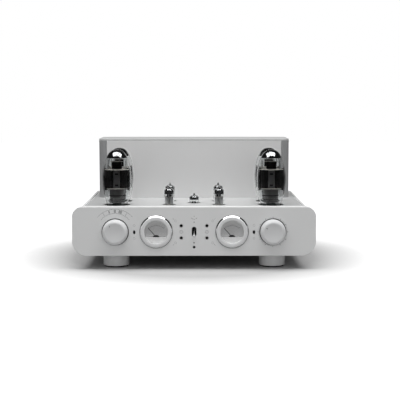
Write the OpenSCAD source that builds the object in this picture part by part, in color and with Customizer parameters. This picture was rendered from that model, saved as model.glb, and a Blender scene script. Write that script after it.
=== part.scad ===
// Valve headphone amplifier: a thick faceplate with two knobs, two meters and four headphone
// sockets, a flat deck with nine valves, and a transformer cover behind them.
// +X is to the right, +Y to the rear, +Z up. The origin is on the floor, at the middle.

/* [Faceplate] */
// Width of the faceplate
plate_w = 530; // [500:1:640]
// Height of the faceplate
plate_h = 107; // [100:1:135]
// Thickness of the faceplate
plate_t = 20; // [17:1:26]
// Radius of the faceplate's upper corners
plate_top_r = 21; // [8:1:36]
// Radius of the faceplate's lower corners
plate_low_r = 31; // [8:1:36]

/* [Chassis] */
// Width of the chassis over its side panels
chassis_w = 489; // [466:1:498]
// Depth from the faceplate's front to the rear panel's outside
chassis_d = 387; // [360:1:470]
// Thickness of the side panels
side_t = 5; // [3:0.5:7]
// Groove between the deck and each side panel
deck_groove = 2; // [1:0.5:3]
// Thickness of the deck
deck_t = 3; // [2:0.5:4]
// Thickness of the bottom plate
bottom_t = 2; // [1.5:0.5:4]
// Thickness of the rear panel
rear_t = 3; // [2:0.5:5]
// Thickness of the inner panel that carries the controls
sub_t = 2; // [1.5:0.5:3]

/* [Feet] */
// Diameter of the feet
foot_d = 57; // [35:1:70]
// Gap between the floor and the faceplate
clear_h = 30; // [20:1:45]
// Distance of the feet from the middle
foot_x = 173; // [140:1:195]
// Distance of the front feet behind the faceplate's front
foot_front = 55; // [50:1:90]
// Thickness of the rubber pads
pad_t = 3; // [2:0.5:5]

/* [Transformer cover] */
// Width of the cover
cover_w = 448; // [430:1:456]
// Depth of the cover
cover_d = 124; // [115:1:140]
// Height of the cover above the deck
cover_h = 138.5; // [125:0.5:190]
// Distance of the cover behind the faceplate's front
cover_y = 205; // [203:1:215]
// Radius of the cover's corner posts
post_r = 18; // [12:1:24]
// Thickness of the cover's panels
cover_t = 3; // [2:0.5:5]
// Thickness of the cover's top plate
lid_t = 4; // [3:0.5:6]
// Seam between a corner post and a panel
seam = 1; // [0.5:0.25:2]

/* [Valves] */
// Largest diameter of a power valve
power_d = 64; // [54:0.5:68]
// Height of a power valve above the deck
power_h = 121.5; // [100:0.5:130]
// Distance of the power valves from the middle
power_x = 170; // [150:1:185]
// Diameter of a small valve
small_d = 22; // [18:0.5:24]
// Height of a small valve above the deck
small_h = 44.6; // [42:0.1:47]
// Distance of the small valves from the middle
small_x = 55; // [45:1:70]
// Distance of the front row behind the faceplate's front
row_front = 51; // [50:1:54]
// Distance between the two rows
row_gap = 81; // [76:1:90]
// Depth at which the sockets' faces lie below the deck
seat = 24; // [22:0.5:27]

/* [Controls] */
// Distance of the knobs from the middle
knob_x = 171; // [165:1:195]
// Diameter of a knob where it meets the faceplate
knob_d = 55; // [40:0.5:62]
// Diameter of a knob's front face
knob_face_d = 41; // [30:0.5:50]
// How far a knob stands out of the faceplate
knob_out = 20; // [16:1:36]
// Distance of the meters from the middle
meter_x = 82.4; // [78:0.2:90]
// Outer diameter of a meter's bezel
bezel_d = 70.6; // [58:0.2:74]
// Diameter of a meter's window
window_d = 50.4; // [40:0.2:50.8]
// Distance of the small toggles from the middle
toggle_x = 130; // [126:0.5:134]
// Distance of the headphone sockets from the middle
jack_x = 27.8; // [24:0.2:30]
// Distance of the headphone sockets above and below the line of controls
jack_z = 13.3; // [12.5:0.1:14]
// Bore of a headphone socket, for a 6.35 mm plug
jack_bore_d = 6.4; // [6.38:0.01:6.5]
// Turn of the selector from its first position to its last
selector_turn = 96; // [60:1:150]

/* [Hidden] */
$fn = 72;

rear_out = 12;                                    // how far the input sockets stand out behind
total_d = knob_out + chassis_d + rear_out;
front_y = knob_out - total_d / 2;                 // the faceplate's front face
rear_y = front_y + chassis_d;                     // the rear panel's outside
plate_back = front_y + plate_t;
sub_back = plate_back + sub_t;
deck_z = clear_h + plate_h;                       // the deck's top, level with the faceplate's
base_z = clear_h + 3;                             // the underside of the chassis
floor_z = base_z + bottom_t;                      // the bottom plate's upper face
control_z = clear_h + plate_h / 2 - 1;            // the line on which the controls lie
inner_w = chassis_w - 2 * side_t;
deck_w = inner_w - 2 * deck_groove;
ledge = 8;                                        // ledges inside the side panels
ledge_t = 3;
joint_gap = 0.3;                                  // between pieces that only lie beside each other
run_gap = 0.05;                                   // radial play of a shaft in its bore

foot_rows = [front_y + foot_front, rear_y - foot_front];
screw_r = 2;
screw_x = inner_w / 2 - ledge / 2;
screw_rows = [for (i = [0 : 3]) plate_back + 30 + i * (chassis_d - plate_t - 60) / 3];

cover_front_y = front_y + cover_y;
cover_mid_y = cover_front_y + cover_d / 2;
cover_top_z = deck_z + cover_h;
lid_z = cover_top_z - lid_t;

power_core_w = 120;                               // width and stack of each core
power_core_t = 52;
output_core_w = 84;
output_core_t = 40;
output_x = 140;
choke_w = 54;
choke_t = 26;

valve_rows = [front_y + row_front, front_y + row_front + row_gap];
middle_y = front_y + row_front + row_gap / 2;
socket_top_z = deck_z - seat;
socket_h = 10;
board_z = socket_top_z - socket_h;
board_t = 2;
board_post_x = 205;
board_post_rows = [front_y + 78, middle_y + 66];
glass_t = 1.2;
neck_r = 19.5;
belly = 0.47;                                     // height of the widest place, of the whole
shoulder = 0.82;                                  // below 1, the bulb is fuller above that place
base_r = 20.5;
base_h = 18;
pin_ring_r = 8.75;
pin_r = 1.2;
octal_pins = 8;
power_hole_r = 28.8;
small_hole_r = 14.8;
small_total_h = 49;
small_glass_t = 0.8;
small_tip_h = 8.5;

shaft_r = 3;
bush_r = 4.8;
window_r = window_d / 2;
bezel_out = 5;
bezel_sink = 1.5;                                 // recess that the bezel is let into
bezel_gap = 0.7;
knob_sink = 2.5;                                  // recess round the foot of each knob
knob_gap = 1.8;
tube_r = max(window_r + 1, 24);                   // the bezel's tube and the hole it fits in
dial_y = front_y + 7;
dial_t = 1;
chord_drop = 10.8;                                // the dial's lower edge below its centre
needle_z = control_z - chord_drop - 1;
needle_y = front_y + 3.2;
needle_t = 0.6;
needle_w = 1.3;
needle_len = 26;
needle_rest = 41;                                 // needle's lean to the left at rest

lever_slot_w = 10;
lever_slot_h = 22;
lever_pivot_y = sub_back + 5;
lever_len = lever_pivot_y - front_y + 8;
lever_lean = asin(9 / lever_len);                 // the tip rests 9 mm below the middle
toggle_slot_w = 5;
toggle_slot_h = 8;
toggle_pivot_y = front_y + 14;
toggle_lean = 9;
toggle_bush_r = 6;
axle_r = 1.2;

jack_nose_r = 4;
jack_bore_depth = 36;
lamp_r = 1.3;
lamp_drop = 24;                                   // below the line of controls
remote_r = 2.8;
remote_drop = 33.5;

inlet_x = 190;
rocker_x = 140;
rear_mid_z = (floor_z + deck_z - deck_t) / 2;
input_pitch = 26;
input_x = -200;
input_rows = [rear_mid_z - 12, rear_mid_z + 12];
inputs = 5;
input_thread_r = 5;
input_barrel_r = 4.15;
inlet_w = 24;
inlet_h = 16;
inlet_depth = 16;
rocker_w = 13;
rocker_h = 20;
rocker_lean = 8;

satin = [0.80, 0.81, 0.82];
steel = [0.62, 0.63, 0.65];
black = [0.05, 0.05, 0.05];

// ---------- helpers ----------

// a slab whose outline is drawn in X and Z, from y to y + t
module slab(y, t) {
    translate([0, y + t, 0]) rotate([90, 0, 0]) linear_extrude(t) children();
}

// a round bar along +Y
module bar(x, y, z, r, len) {
    translate([x, y, z]) rotate([-90, 0, 0]) cylinder(r = r, h = len);
}

// a block given by its middle in X, its start in Y, its middle in Z and its sizes
module block(x, y, z, w, d, h) {
    translate([x - w / 2, y, z - h / 2]) cube([w, d, h]);
}

// an upright slot with round ends, drawn in X and Z
module slot_outline(x, z, w, h) {
    translate([x - w / 2, z - (h - w) / 2]) square([w, h - w]);
    for (s = [-1, 1]) translate([x, z + s * (h - w) / 2]) circle(w / 2);
}

// ---------- chassis ----------

// outline through the points where the corner arcs begin, with a circle in each corner
module plate_outline() {
    x = plate_w / 2;
    low = clear_h;
    top = clear_h + plate_h;
    polygon([
        [-x, low + plate_low_r], [-x, top - plate_top_r], [-x + plate_top_r, top],
        [x - plate_top_r, top], [x, top - plate_top_r], [x, low + plate_low_r],
        [x - plate_low_r, low], [-x + plate_low_r, low]
    ]);
    for (s = [-1, 1]) {
        translate([s * (x - plate_top_r), top - plate_top_r]) circle(plate_top_r);
        translate([s * (x - plate_low_r), low + plate_low_r]) circle(plate_low_r);
    }
}

module control_holes(gap, meter_r) {
    for (s = [-1, 1]) {
        translate([s * knob_x, control_z]) circle(bush_r + gap);
        translate([s * meter_x, control_z]) circle(meter_r);
        for (k = [-1, 1]) translate([s * jack_x, control_z + k * jack_z]) circle(jack_nose_r + gap);
    }
    slot_outline(0, control_z, lever_slot_w, lever_slot_h);
}

module faceplate() {
    color(satin) difference() {
        slab(front_y, plate_t) plate_outline();
        slab(front_y - 1, plate_t + 2) control_holes(0.1, tube_r + 0.1);
        slab(front_y - 1, plate_t + 2) for (s = [-1, 1])
            slot_outline(s * toggle_x, control_z, toggle_slot_w, toggle_slot_h);
        for (s = [-1, 1]) {
            bar(s * toggle_x, front_y + 5, control_z, toggle_bush_r + 0.1, plate_t);
            bar(s * knob_x, front_y - 1, control_z, knob_d / 2 + knob_gap, knob_sink + 1);
            bar(s * meter_x, front_y - 1, control_z, bezel_d / 2 + bezel_gap, bezel_sink + 1);
        }
        bar(0, front_y - 1, control_z - lamp_drop, lamp_r + 0.1, plate_t + 2);
        bar(0, front_y - 1, control_z - remote_drop, remote_r + 0.1, plate_t + 2);
    }
}

module sub_panel() {
    low = floor_z + ledge_t + 4;
    high = deck_z - deck_t - ledge_t - 4;
    color(steel) difference() {
        translate([-inner_w / 2 + 1, plate_back, low]) cube([inner_w - 2, sub_t, high - low]);
        slab(plate_back - 1, sub_t + 2) control_holes(0.3, window_r + 0.4);
        for (s = [-1, 1]) bar(s * toggle_x, plate_back - 1, control_z, toggle_bush_r + 0.2, sub_t + 2);
        bar(0, plate_back - 1, control_z - lamp_drop, lamp_r + 0.3, sub_t + 2);
        bar(0, plate_back - 1, control_z - remote_drop, remote_r + 0.3, sub_t + 2);
    }
}

module top_deck() {
    color(satin) difference() {
        translate([-deck_w / 2, plate_back, deck_z - deck_t])
            cube([deck_w, rear_y - plate_back, deck_t]);
        for (y = valve_rows, s = [-1, 1]) {
            translate([s * power_x, y, deck_z - deck_t - 1]) cylinder(r = power_hole_r, h = deck_t + 2);
            translate([s * small_x, y, deck_z - deck_t - 1]) cylinder(r = small_hole_r, h = deck_t + 2);
        }
        translate([0, middle_y, deck_z - deck_t - 1]) cylinder(r = small_hole_r, h = deck_t + 2);
    }
}

// side panel with an upper ledge for the deck and a lower one for the bottom plate
module side_panel(side) {
    top = deck_z;
    under_deck = deck_z - deck_t;
    color(satin) difference() {
        translate([0, rear_y, 0]) rotate([90, 0, 0]) linear_extrude(rear_y - plate_back)
            mirror([side < 0 ? 1 : 0, 0]) polygon([
                [chassis_w / 2, base_z], [chassis_w / 2, top], [inner_w / 2, top],
                [inner_w / 2, under_deck], [inner_w / 2 - ledge, under_deck],
                [inner_w / 2 - ledge, under_deck - ledge_t], [inner_w / 2, under_deck - ledge_t],
                [inner_w / 2, floor_z + ledge_t], [inner_w / 2 - ledge, floor_z + ledge_t],
                [inner_w / 2 - ledge, floor_z], [inner_w / 2, floor_z], [inner_w / 2, base_z]
            ]);
        for (y = screw_rows) translate([side * screw_x, y, floor_z - 1])
            cylinder(r = screw_r + run_gap, h = ledge_t + 2);
        translate([side * (inner_w / 2 - ledge / 2 - 1), rear_y - rear_t, (base_z + deck_z) / 2])
            cube([ledge + 2, 2 * rear_t, deck_z - base_z - 2 * side_t], center = true);
    }
}

module bottom_plate() {
    slot_h = 60;
    slot_w = 4;
    slots = 9;
    color(steel) {
        difference() {
            translate([-inner_w / 2, plate_back, base_z])
                cube([inner_w, rear_y - rear_t - plate_back, bottom_t]);
            for (y = screw_rows, s = [-1, 1]) translate([s * screw_x, y, base_z - 1])
                cylinder(r = screw_r + 0.2, h = bottom_t + 2);
            for (i = [0 : slots - 1]) translate([(i - (slots - 1) / 2) * 14 - slot_w / 2,
                (plate_back + rear_y) / 2 - slot_h / 2, base_z - 1]) cube([slot_w, slot_h, bottom_t + 2]);
        }
        for (x = [-1, 0, 1], y = board_post_rows) translate([x * board_post_x, y, floor_z - 0.01])
            cylinder(r = 4, h = board_z - board_t - floor_z + 0.01);
    }
}

module rear_panel() {
    low = floor_z + ledge_t;
    high = deck_z - deck_t - ledge_t;
    color(satin) difference() {
        union() {
            translate([-inner_w / 2, rear_y - rear_t, low]) cube([inner_w, rear_t, high - low]);
            translate([-inner_w / 2 + ledge, rear_y - rear_t, base_z])
                cube([inner_w - 2 * ledge, rear_t, deck_z - deck_t - base_z]);
        }
        block(inlet_x, rear_y - rear_t - 1, rear_mid_z, inlet_w + 4.4, rear_t + 2, inlet_h + 4.4);
        block(rocker_x, rear_y - rear_t - 1, rear_mid_z, rocker_w + 4.4, rear_t + 2, rocker_h + 4.4);
        for (i = [0 : inputs - 1], z = input_rows)
            bar(input_x + i * input_pitch, rear_y - rear_t - 1, z, input_thread_r + 0.1, rear_t + 2);
    }
}

// ---------- feet ----------

module at_feet() {
    for (y = foot_rows, s = [-1, 1]) translate([s * foot_x, y, 0]) children();
}

// turned foot with a fine bevel at both ends
module feet() {
    r = foot_d / 2;
    color(satin) at_feet() rotate_extrude() polygon([
        [0, pad_t], [r - 1, pad_t], [r, pad_t + 1], [r, base_z - 1.5], [r - 1.5, base_z], [0, base_z]
    ]);
}

module foot_pads() {
    color(black) at_feet() cylinder(r = foot_d / 2 - 2.5, h = pad_t);
}

// ---------- transformer cover ----------

module cover_front() {
    color(satin) translate([-cover_w / 2 + post_r + seam, cover_front_y, deck_z])
        cube([cover_w - 2 * (post_r + seam), cover_t, lid_z - deck_z]);
}

module cover_rear() {
    vents = 14;
    w = cover_w - 2 * (post_r + seam);
    color(satin) difference() {
        translate([-w / 2, cover_front_y + cover_d - cover_t, deck_z])
            cube([w, cover_t, lid_z - deck_z]);
        for (i = [0 : vents - 1])
            block((i - (vents - 1) / 2) * 20, cover_front_y + cover_d - cover_t - 1, lid_z - 26,
                5, cover_t + 2, 22);
    }
}

module cover_sides() {
    color(satin) for (s = [-1, 1])
        translate([s * (cover_w - cover_t) / 2 - cover_t / 2, cover_front_y + post_r + seam, deck_z])
            cube([cover_t, cover_d - 2 * (post_r + seam), lid_z - deck_z]);
}

// quarter-round posts with a square core behind the panels' ends
module cover_corner_posts() {
    h = lid_z - deck_z;
    color(satin) for (sx = [-1, 1], sy = [-1, 1])
        translate([sx * (cover_w / 2 - post_r), cover_mid_y + sy * (cover_d / 2 - post_r), deck_z])
            intersection() {
                cylinder(r = post_r, h = h);
                translate([sx > 0 ? 0 : -post_r, sy > 0 ? 0 : -post_r, 0]) cube([post_r, post_r, h]);
            }
}

module lid_outline(inset) {
    w = cover_w / 2 - inset;
    d = cover_d / 2 - inset;
    r = post_r - inset;
    translate([-w + r, -d]) square([2 * (w - r), 2 * d]);
    translate([-w, -d + r]) square([2 * w, 2 * (d - r)]);
    for (sx = [-1, 1], sy = [-1, 1]) translate([sx * (w - r), sy * (d - r)]) circle(r);
}

module cover_top() {
    bevel = 1;
    color(satin) translate([0, cover_mid_y, lid_z]) {
        linear_extrude(lid_t - bevel) lid_outline(0);
        linear_extrude(lid_t) lid_outline(bevel);
    }
}

// ---------- transformers and power supply ----------

// core of an E-and-I lamination stack, w wide: limbs of w/6 and a middle limb of w/3
module core(w, t) {
    h = w * 5 / 6;
    difference() {
        translate([-w / 2, -t / 2, 0]) cube([w, t, h]);
        for (s = [-1, 1]) translate([s * w / 4 - w / 12, -t / 2 - 1, w / 6]) cube([w / 6, t + 2, w / 2]);
    }
}

// winding round the middle limb
module coil(w, t) {
    gap = 0.4;
    out = w / 7;
    difference() {
        translate([-w / 3 + gap, -t / 2 - out, w / 6 + gap])
            cube([2 * w / 3 - 2 * gap, t + 2 * out, w / 2 - 2 * gap]);
        translate([-w / 6 - gap, -t / 2 - gap, w / 6]) cube([w / 3 + 2 * gap, t + 2 * gap, w / 2]);
    }
}

module at_outputs() {
    for (s = [-1, 1]) translate([s * output_x, cover_mid_y, deck_z]) children();
}

module power_transformer_core() {
    color(steel) translate([0, cover_mid_y, deck_z]) core(power_core_w, power_core_t);
}

module power_transformer_coil() {
    color("goldenrod") translate([0, cover_mid_y, deck_z]) coil(power_core_w, power_core_t);
}

module output_transformer_cores() {
    color(steel) at_outputs() core(output_core_w, output_core_t);
}

module output_transformer_coils() {
    color("goldenrod") at_outputs() coil(output_core_w, output_core_t);
}

module choke() {
    color(steel) translate([0, cover_mid_y, floor_z]) {
        core(choke_w, choke_t);
        coil(choke_w, choke_t - 2);
    }
}

module main_board() {
    margin = 22;
    first = front_y + row_front - 20;
    last = valve_rows[1] + 40;
    color("darkgreen") difference() {
        translate([-inner_w / 2 + margin, first, board_z - board_t])
            cube([inner_w - 2 * margin, last - first, board_t]);
        for (y = valve_rows, s = [-1, 1]) translate([s * power_x, y, board_z - board_t - 1])
            cylinder(r = pin_ring_r + 4, h = board_t + 2);
    }
}

module filter_capacitors() {
    r = 16;
    h = 42;
    pitch = 50;
    color([0.1, 0.12, 0.2]) for (i = [0 : 3])
        translate([(i - 1.5) * pitch, valve_rows[1], board_z - board_t - h]) cylinder(r = r, h = h);
}

// ---------- valves ----------

module at_power_valves() {
    for (y = valve_rows, s = [-1, 1]) translate([s * power_x, y, deck_z]) children();
}

module at_small_valves() {
    for (y = valve_rows, s = [-1, 1]) translate([s * small_x, y, deck_z + small_h]) children();
    translate([0, middle_y, socket_top_z + small_total_h]) children();
}

// half outline of the egg-shaped bulb: a full-shouldered ellipse above the widest place, and below
// it a cosine that runs down into the straight neck
function egg(r, neck, top, low) = let (mid = power_h * belly) concat(
    [for (i = [0 : 7]) let (u = i / 8, z = low + u * (mid - low))
        [neck + (r - neck) * pow(cos(90 * (mid - z) / (mid - low)), 0.8), z]],
    [for (a = [0 : 10 : 80]) [r * pow(cos(a), shoulder), mid + (top - mid) * sin(a)]],
    [[0, top]]
);

module power_valve_glass() {
    low = base_h - seat;
    outer = egg(power_d / 2, neck_r, power_h, low);
    inner = egg(power_d / 2 - glass_t, neck_r - glass_t, power_h - glass_t, low);
    back = [for (i = [len(inner) - 1 : -1 : 0]) inner[i]];
    color([0.85, 0.9, 0.92, 0.35]) rotate_extrude() polygon(concat(outer, back));
}

module glass_at(side, row) {
    translate([side * power_x, valve_rows[row], deck_z]) power_valve_glass();
}

// anode box with its raised middle rib, the smaller screen box above, two micas and the stem
module power_valve_electrodes() {
    low = base_h - seat;
    color(black) at_power_valves() {
        translate([-20, -11, 37]) cube([40, 22, 40]);
        translate([-8, -13, 37]) cube([16, 26, 40]);
        for (z = [34.5, 77]) translate([0, 0, z]) cylinder(r = 22, h = 2.5);
        translate([-10, -8, 79.5]) cube([20, 16, 16]);
        translate([0, 0, 95.5]) cylinder(r = 9, h = 2);
        translate([0, 0, low + 1]) cylinder(r = 12, h = 6);
        for (x = [-7, 0, 7]) translate([x, 0, low + 7]) cylinder(r = 1, h = 34.5 - low - 7);
    }
}

module power_valve_bases() {
    color(black) at_power_valves() translate([0, 0, -seat]) {
        difference() {
            cylinder(r = base_r, h = base_h);
            translate([0, 0, 3]) cylinder(r = base_r - 2.5, h = base_h);
        }
        for (i = [0 : octal_pins - 1]) rotate(i * 360 / octal_pins + 22.5)
            translate([pin_ring_r, 0, -9]) cylinder(r = pin_r, h = 10);
        translate([0, 0, -8]) cylinder(r = 3.9, h = 9);
    }
}

module power_valve_sockets() {
    color([0.3, 0.28, 0.26]) at_power_valves() translate([0, 0, -seat - socket_h]) difference() {
        cylinder(r = base_r, h = socket_h);
        for (i = [0 : octal_pins - 1]) rotate(i * 360 / octal_pins + 22.5)
            translate([pin_ring_r, 0, -1]) cylinder(r = pin_r + run_gap, h = socket_h + 2);
        translate([0, 0, -1]) cylinder(r = 3.9 + run_gap, h = socket_h + 2);
    }
}

// outline measured down from the tip: nipple, round shoulder and straight wall
function bottle(r, t) = [
    [0.8 - t / 2, -t], [1.7 - t, -2.5 - t], [2.4 - t, -5 - t], [4 - t, -6.8 - t],
    [r * 0.62, -small_tip_h + 0.6 - t],
    [r * 0.86, -small_tip_h - 0.9 - t], [r * 0.97, -small_tip_h - 3.2 - t], [r, -small_tip_h - 6]
];

module small_valve_glass() {
    r = small_d / 2;
    outer = concat([[0, 0]], bottle(r, 0), [[r, -small_total_h]]);
    inner = concat([[r - small_glass_t, -small_total_h]],
        [for (i = [7 : -1 : 3]) bottle(r - small_glass_t, small_glass_t)[i]], [[0, -6.8 - small_glass_t]]);
    color([0.85, 0.9, 0.92, 0.35]) rotate_extrude() polygon(concat(outer, inner));
}

module small_glass_at(side, row) {
    translate([side * small_x, valve_rows[row], deck_z + small_h]) small_valve_glass();
}

// two anode tubes between their micas, the getter ring above and the glass button below
module small_valve_electrodes() {
    color([0.35, 0.35, 0.36]) at_small_valves() {
        for (s = [-1, 1]) translate([s * 4.2, 0, -small_total_h + 9]) cylinder(r = 3.6, h = 22);
        for (z = [8, 31]) translate([0, 0, -small_total_h + z]) cylinder(r = small_d / 2 - 1.6, h = 1);
        translate([0, 0, -small_total_h + 32]) cylinder(r = 1, h = 3);
        translate([0, 0, -small_total_h + 35]) cylinder(r = 4, h = 0.8);
        translate([0, 0, -small_total_h]) cylinder(r = small_d / 2 - 1.6, h = 3);
        for (s = [-1, 1]) translate([s * 4.2, 0, -small_total_h + 3]) cylinder(r = 0.6, h = 5);
        for (i = [0 : 8]) rotate(i * 36) translate([5.95, 0, -small_total_h - 6.5]) cylinder(r = 0.5, h = 6.5);
    }
}

module small_socket(top, low) {
    translate([0, 0, low]) difference() {
        cylinder(r = 11, h = top - low);
        translate([0, 0, top - low - 7.5]) cylinder(r = 7.2, h = 8);
    }
}

module small_valve_sockets() {
    color([0.3, 0.28, 0.26]) {
        for (y = valve_rows, s = [-1, 1]) translate([s * small_x, y, 0])
            small_socket(deck_z + small_h - small_total_h, board_z);
        translate([0, middle_y, 0]) small_socket(socket_top_z, board_z);
    }
}

// ---------- meters ----------

// polished ring: a quarter ellipse outside, a slope down to the window inside, and a tube
module meter_bezel(side) {
    r = bezel_d / 2;
    crest = (r + window_r) / 2 + 1;
    color([0.85, 0.85, 0.86]) translate([side * meter_x, front_y, control_z]) rotate([90, 0, 0])
        rotate_extrude() polygon(concat(
            [[window_r, -6], [tube_r, -6], [tube_r, -bezel_sink], [r, -bezel_sink]],
            [for (a = [0 : 15 : 90]) [crest + (r - crest) * cos(a), 0.8 + (bezel_out - 0.8) * sin(a)]],
            [[window_r + 1.5, bezel_out - 2.5], [window_r, bezel_out - 3]]
        ));
}

module meter_glasses() {
    color([0.85, 0.9, 0.92, 0.35]) for (s = [-1, 1])
        bar(s * meter_x, front_y - 1.2, control_z, window_r - 0.02, 1.4);
}

// scale plate, and the cover over the movement below the dial's lower edge
module meter_dials() {
    color([0.6, 0.6, 0.6]) for (s = [-1, 1]) {
        difference() {
            bar(s * meter_x, dial_y, control_z, tube_r, dial_t);
            bar(s * meter_x, dial_y - 1, needle_z, 0.6 + run_gap, dial_t + 2);
        }
        intersection() {
            bar(s * meter_x, front_y + 1, control_z, window_r - 0.3, 1.2);
            block(s * meter_x, front_y, control_z - chord_drop - 20, 2 * window_r, 4, 40);
        }
    }
}

module meter_movements() {
    color(black) for (s = [-1, 1]) difference() {
        bar(s * meter_x, dial_y + dial_t, control_z, window_r, 22);
        bar(s * meter_x, dial_y, needle_z, 0.6 + run_gap, 8);
    }
}

// pointer, hub and pivot pin; at rest it leans to the left
module meter_needle(side) {
    color(black) translate([side * meter_x, 0, needle_z]) rotate([0, -needle_rest, 0]) {
        translate([-needle_w / 2, needle_y, 2]) cube([needle_w, needle_t, needle_len - 2]);
        bar(0, needle_y, 0, 2.6, dial_y - needle_y - joint_gap);
        bar(0, needle_y + 1, 0, 0.6, dial_y + dial_t + 5 - needle_y - 1);
    }
}

// ---------- knobs ----------

// turned knob: a straight skirt, then an elliptical shoulder up to the flat face
module knob(side) {
    lift = 0.8 - knob_sink;
    skirt = knob_out * 0.42;
    r = knob_d / 2;
    face_r = knob_face_d / 2;
    color([0.87, 0.88, 0.88]) translate([side * knob_x, front_y, control_z]) rotate([90, 0, 0])
        difference() {
            rotate_extrude() polygon(concat(
                [[0, lift], [r - 0.6, lift], [r, lift + 0.8], [r, skirt]],
                [for (a = [15 : 15 : 90]) [face_r + (r - face_r) * cos(a), skirt + (knob_out - skirt) * sin(a)]],
                [[0, knob_out]]
            ));
            translate([0, 0, -knob_sink]) cylinder(r = shaft_r + 0.02, h = knob_out - 6 + knob_sink);
        }
}

module control_shaft(side) {
    start = front_y - knob_out + 8;
    color(steel) bar(side * knob_x, start, control_z, shaft_r, sub_back + 12 - start);
}

module control_body(side, r, d) {
    color([0.3, 0.3, 0.32]) difference() {
        union() {
            bar(side * knob_x, front_y + 8, control_z, bush_r, sub_back - front_y - 8);
            bar(side * knob_x, sub_back, control_z, r, d);
        }
        bar(side * knob_x, front_y + 7, control_z, shaft_r + run_gap, sub_back - front_y + 8);
    }
}

// ---------- levers, sockets and lamps ----------

// lever on a cross pin; it rests at its lower stop
module output_lever() {
    color([0.85, 0.85, 0.86]) translate([0, lever_pivot_y, control_z]) rotate([lever_lean, 0, 0]) {
        rotate([90, 0, 0]) rotate_extrude() polygon([
            [0, 0], [1.8, 0], [1.3, lever_len - 6], [2.4, lever_len - 4.6], [2.7, lever_len - 2.7],
            [2.4, lever_len - 1], [1.4, lever_len], [0, lever_len]
        ]);
        translate([-6, 0, 0]) rotate([0, 90, 0]) cylinder(r = axle_r, h = 12);
    }
}

module small_toggle(side) {
    color(black) translate([side * toggle_x, toggle_pivot_y, control_z]) rotate([toggle_lean, 0, 0]) {
        translate([-1.3, -14.2, -1.3]) cube([2.6, 15, 2.6]);
        translate([-4, 0, 0]) rotate([0, 90, 0]) cylinder(r = axle_r, h = 8);
    }
}

module toggle_switches() {
    color([0.12, 0.12, 0.13]) {
        for (s = [-1, 1]) difference() {
            union() {
                bar(s * toggle_x, front_y + 5.6, control_z, toggle_bush_r, sub_back - front_y - 5.6);
                block(s * toggle_x, sub_back, control_z, 9, 12, 14);
            }
            block(s * toggle_x, front_y + 4, control_z, 3.4, 13, 9.6);
            translate([s * toggle_x - 4.3, toggle_pivot_y, control_z]) rotate([0, 90, 0])
                cylinder(r = axle_r + run_gap, h = 8.6);
        }
        difference() {
            block(0, sub_back, control_z, 18, 16, 28);
            block(0, sub_back - 1, control_z, 6, 10, 25);
            translate([-6.3, lever_pivot_y, control_z]) rotate([0, 90, 0])
                cylinder(r = axle_r + run_gap, h = 12.6);
        }
    }
}

module headphone_sockets() {
    color(black) for (s = [-1, 1], k = [-1, 1]) difference() {
        union() {
            bar(s * jack_x, front_y + 0.4, control_z + k * jack_z, jack_nose_r, sub_back - front_y - 0.4);
            block(s * jack_x, sub_back, control_z + k * jack_z, 14, 18, 9.6);
        }
        bar(s * jack_x, front_y - 1, control_z + k * jack_z, jack_bore_d / 2, jack_bore_depth + 1);
    }
}

module power_lamp() {
    color([0.9, 0.9, 0.95]) bar(0, front_y + 0.5, control_z - lamp_drop, lamp_r, 22);
}

module remote_window() {
    color(black) bar(0, front_y + 0.6, control_z - remote_drop, remote_r, 22);
}

// ---------- rear ----------

// mains inlet: flange, recessed body and three blades
module power_inlet() {
    color(black) {
        difference() {
            union() {
                block(inlet_x, rear_y, rear_mid_z, inlet_w + 26, 2, inlet_h + 10);
                block(inlet_x, rear_y - inlet_depth - 2, rear_mid_z, inlet_w + 4, inlet_depth + 2, inlet_h + 4);
            }
            block(inlet_x, rear_y + 2 - inlet_depth, rear_mid_z, inlet_w, inlet_depth + 1, inlet_h);
            for (s = [-1, 1]) bar(inlet_x + s * 20, rear_y - 1, rear_mid_z, 1.8, 4);
        }
        for (p = [[-7, -2], [7, -2], [0, 2]])
            block(inlet_x + p[0], rear_y - inlet_depth, rear_mid_z + p[1], 2, inlet_depth - 5, 4);
    }
}

module mains_switch_body() {
    color(black) difference() {
        union() {
            block(rocker_x, rear_y, rear_mid_z, rocker_w + 8, 2, rocker_h + 8);
            block(rocker_x, rear_y - 22, rear_mid_z, rocker_w + 4, 22, rocker_h + 4);
        }
        block(rocker_x, rear_y - 12, rear_mid_z, rocker_w, 15, rocker_h);
        translate([rocker_x - rocker_w / 2 - 1.5, rear_y - 5, rear_mid_z]) rotate([0, 90, 0])
            cylinder(r = axle_r + run_gap, h = rocker_w + 3);
    }
}

// rocker on a cross pin, with its two faces meeting at a shallow angle; the upper end is pressed
module mains_rocker() {
    w = rocker_w - 0.8;
    color([0.1, 0.1, 0.1]) translate([rocker_x, rear_y - 5, rear_mid_z]) rotate([rocker_lean, 0, 0]) {
        translate([-w / 2, 0, 0]) rotate([90, 0, 90]) linear_extrude(w) polygon([
            [-3, -3], [4, -8.6], [8.2, -8.6], [6.4, 0], [8.2, 8.6], [4, 8.6], [-3, 3]
        ]);
        translate([-rocker_w / 2 - 1.2, 0, 0]) rotate([0, 90, 0]) cylinder(r = axle_r, h = rocker_w + 2.4);
    }
}

// phono sockets: round flange, outer barrel with the centre contact's bore, and a threaded shank
module input_sockets() {
    color([0.75, 0.65, 0.35]) for (i = [0 : inputs - 1], z = input_rows) difference() {
        union() {
            bar(input_x + i * input_pitch, rear_y, z, 7, 2.5);
            bar(input_x + i * input_pitch, rear_y, z, input_barrel_r, rear_out);
            bar(input_x + i * input_pitch, rear_y - rear_t - 8, z, input_thread_r, rear_t + 8);
        }
        bar(input_x + i * input_pitch, rear_y + 1, z, 1.65, rear_out);
    }
}

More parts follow.
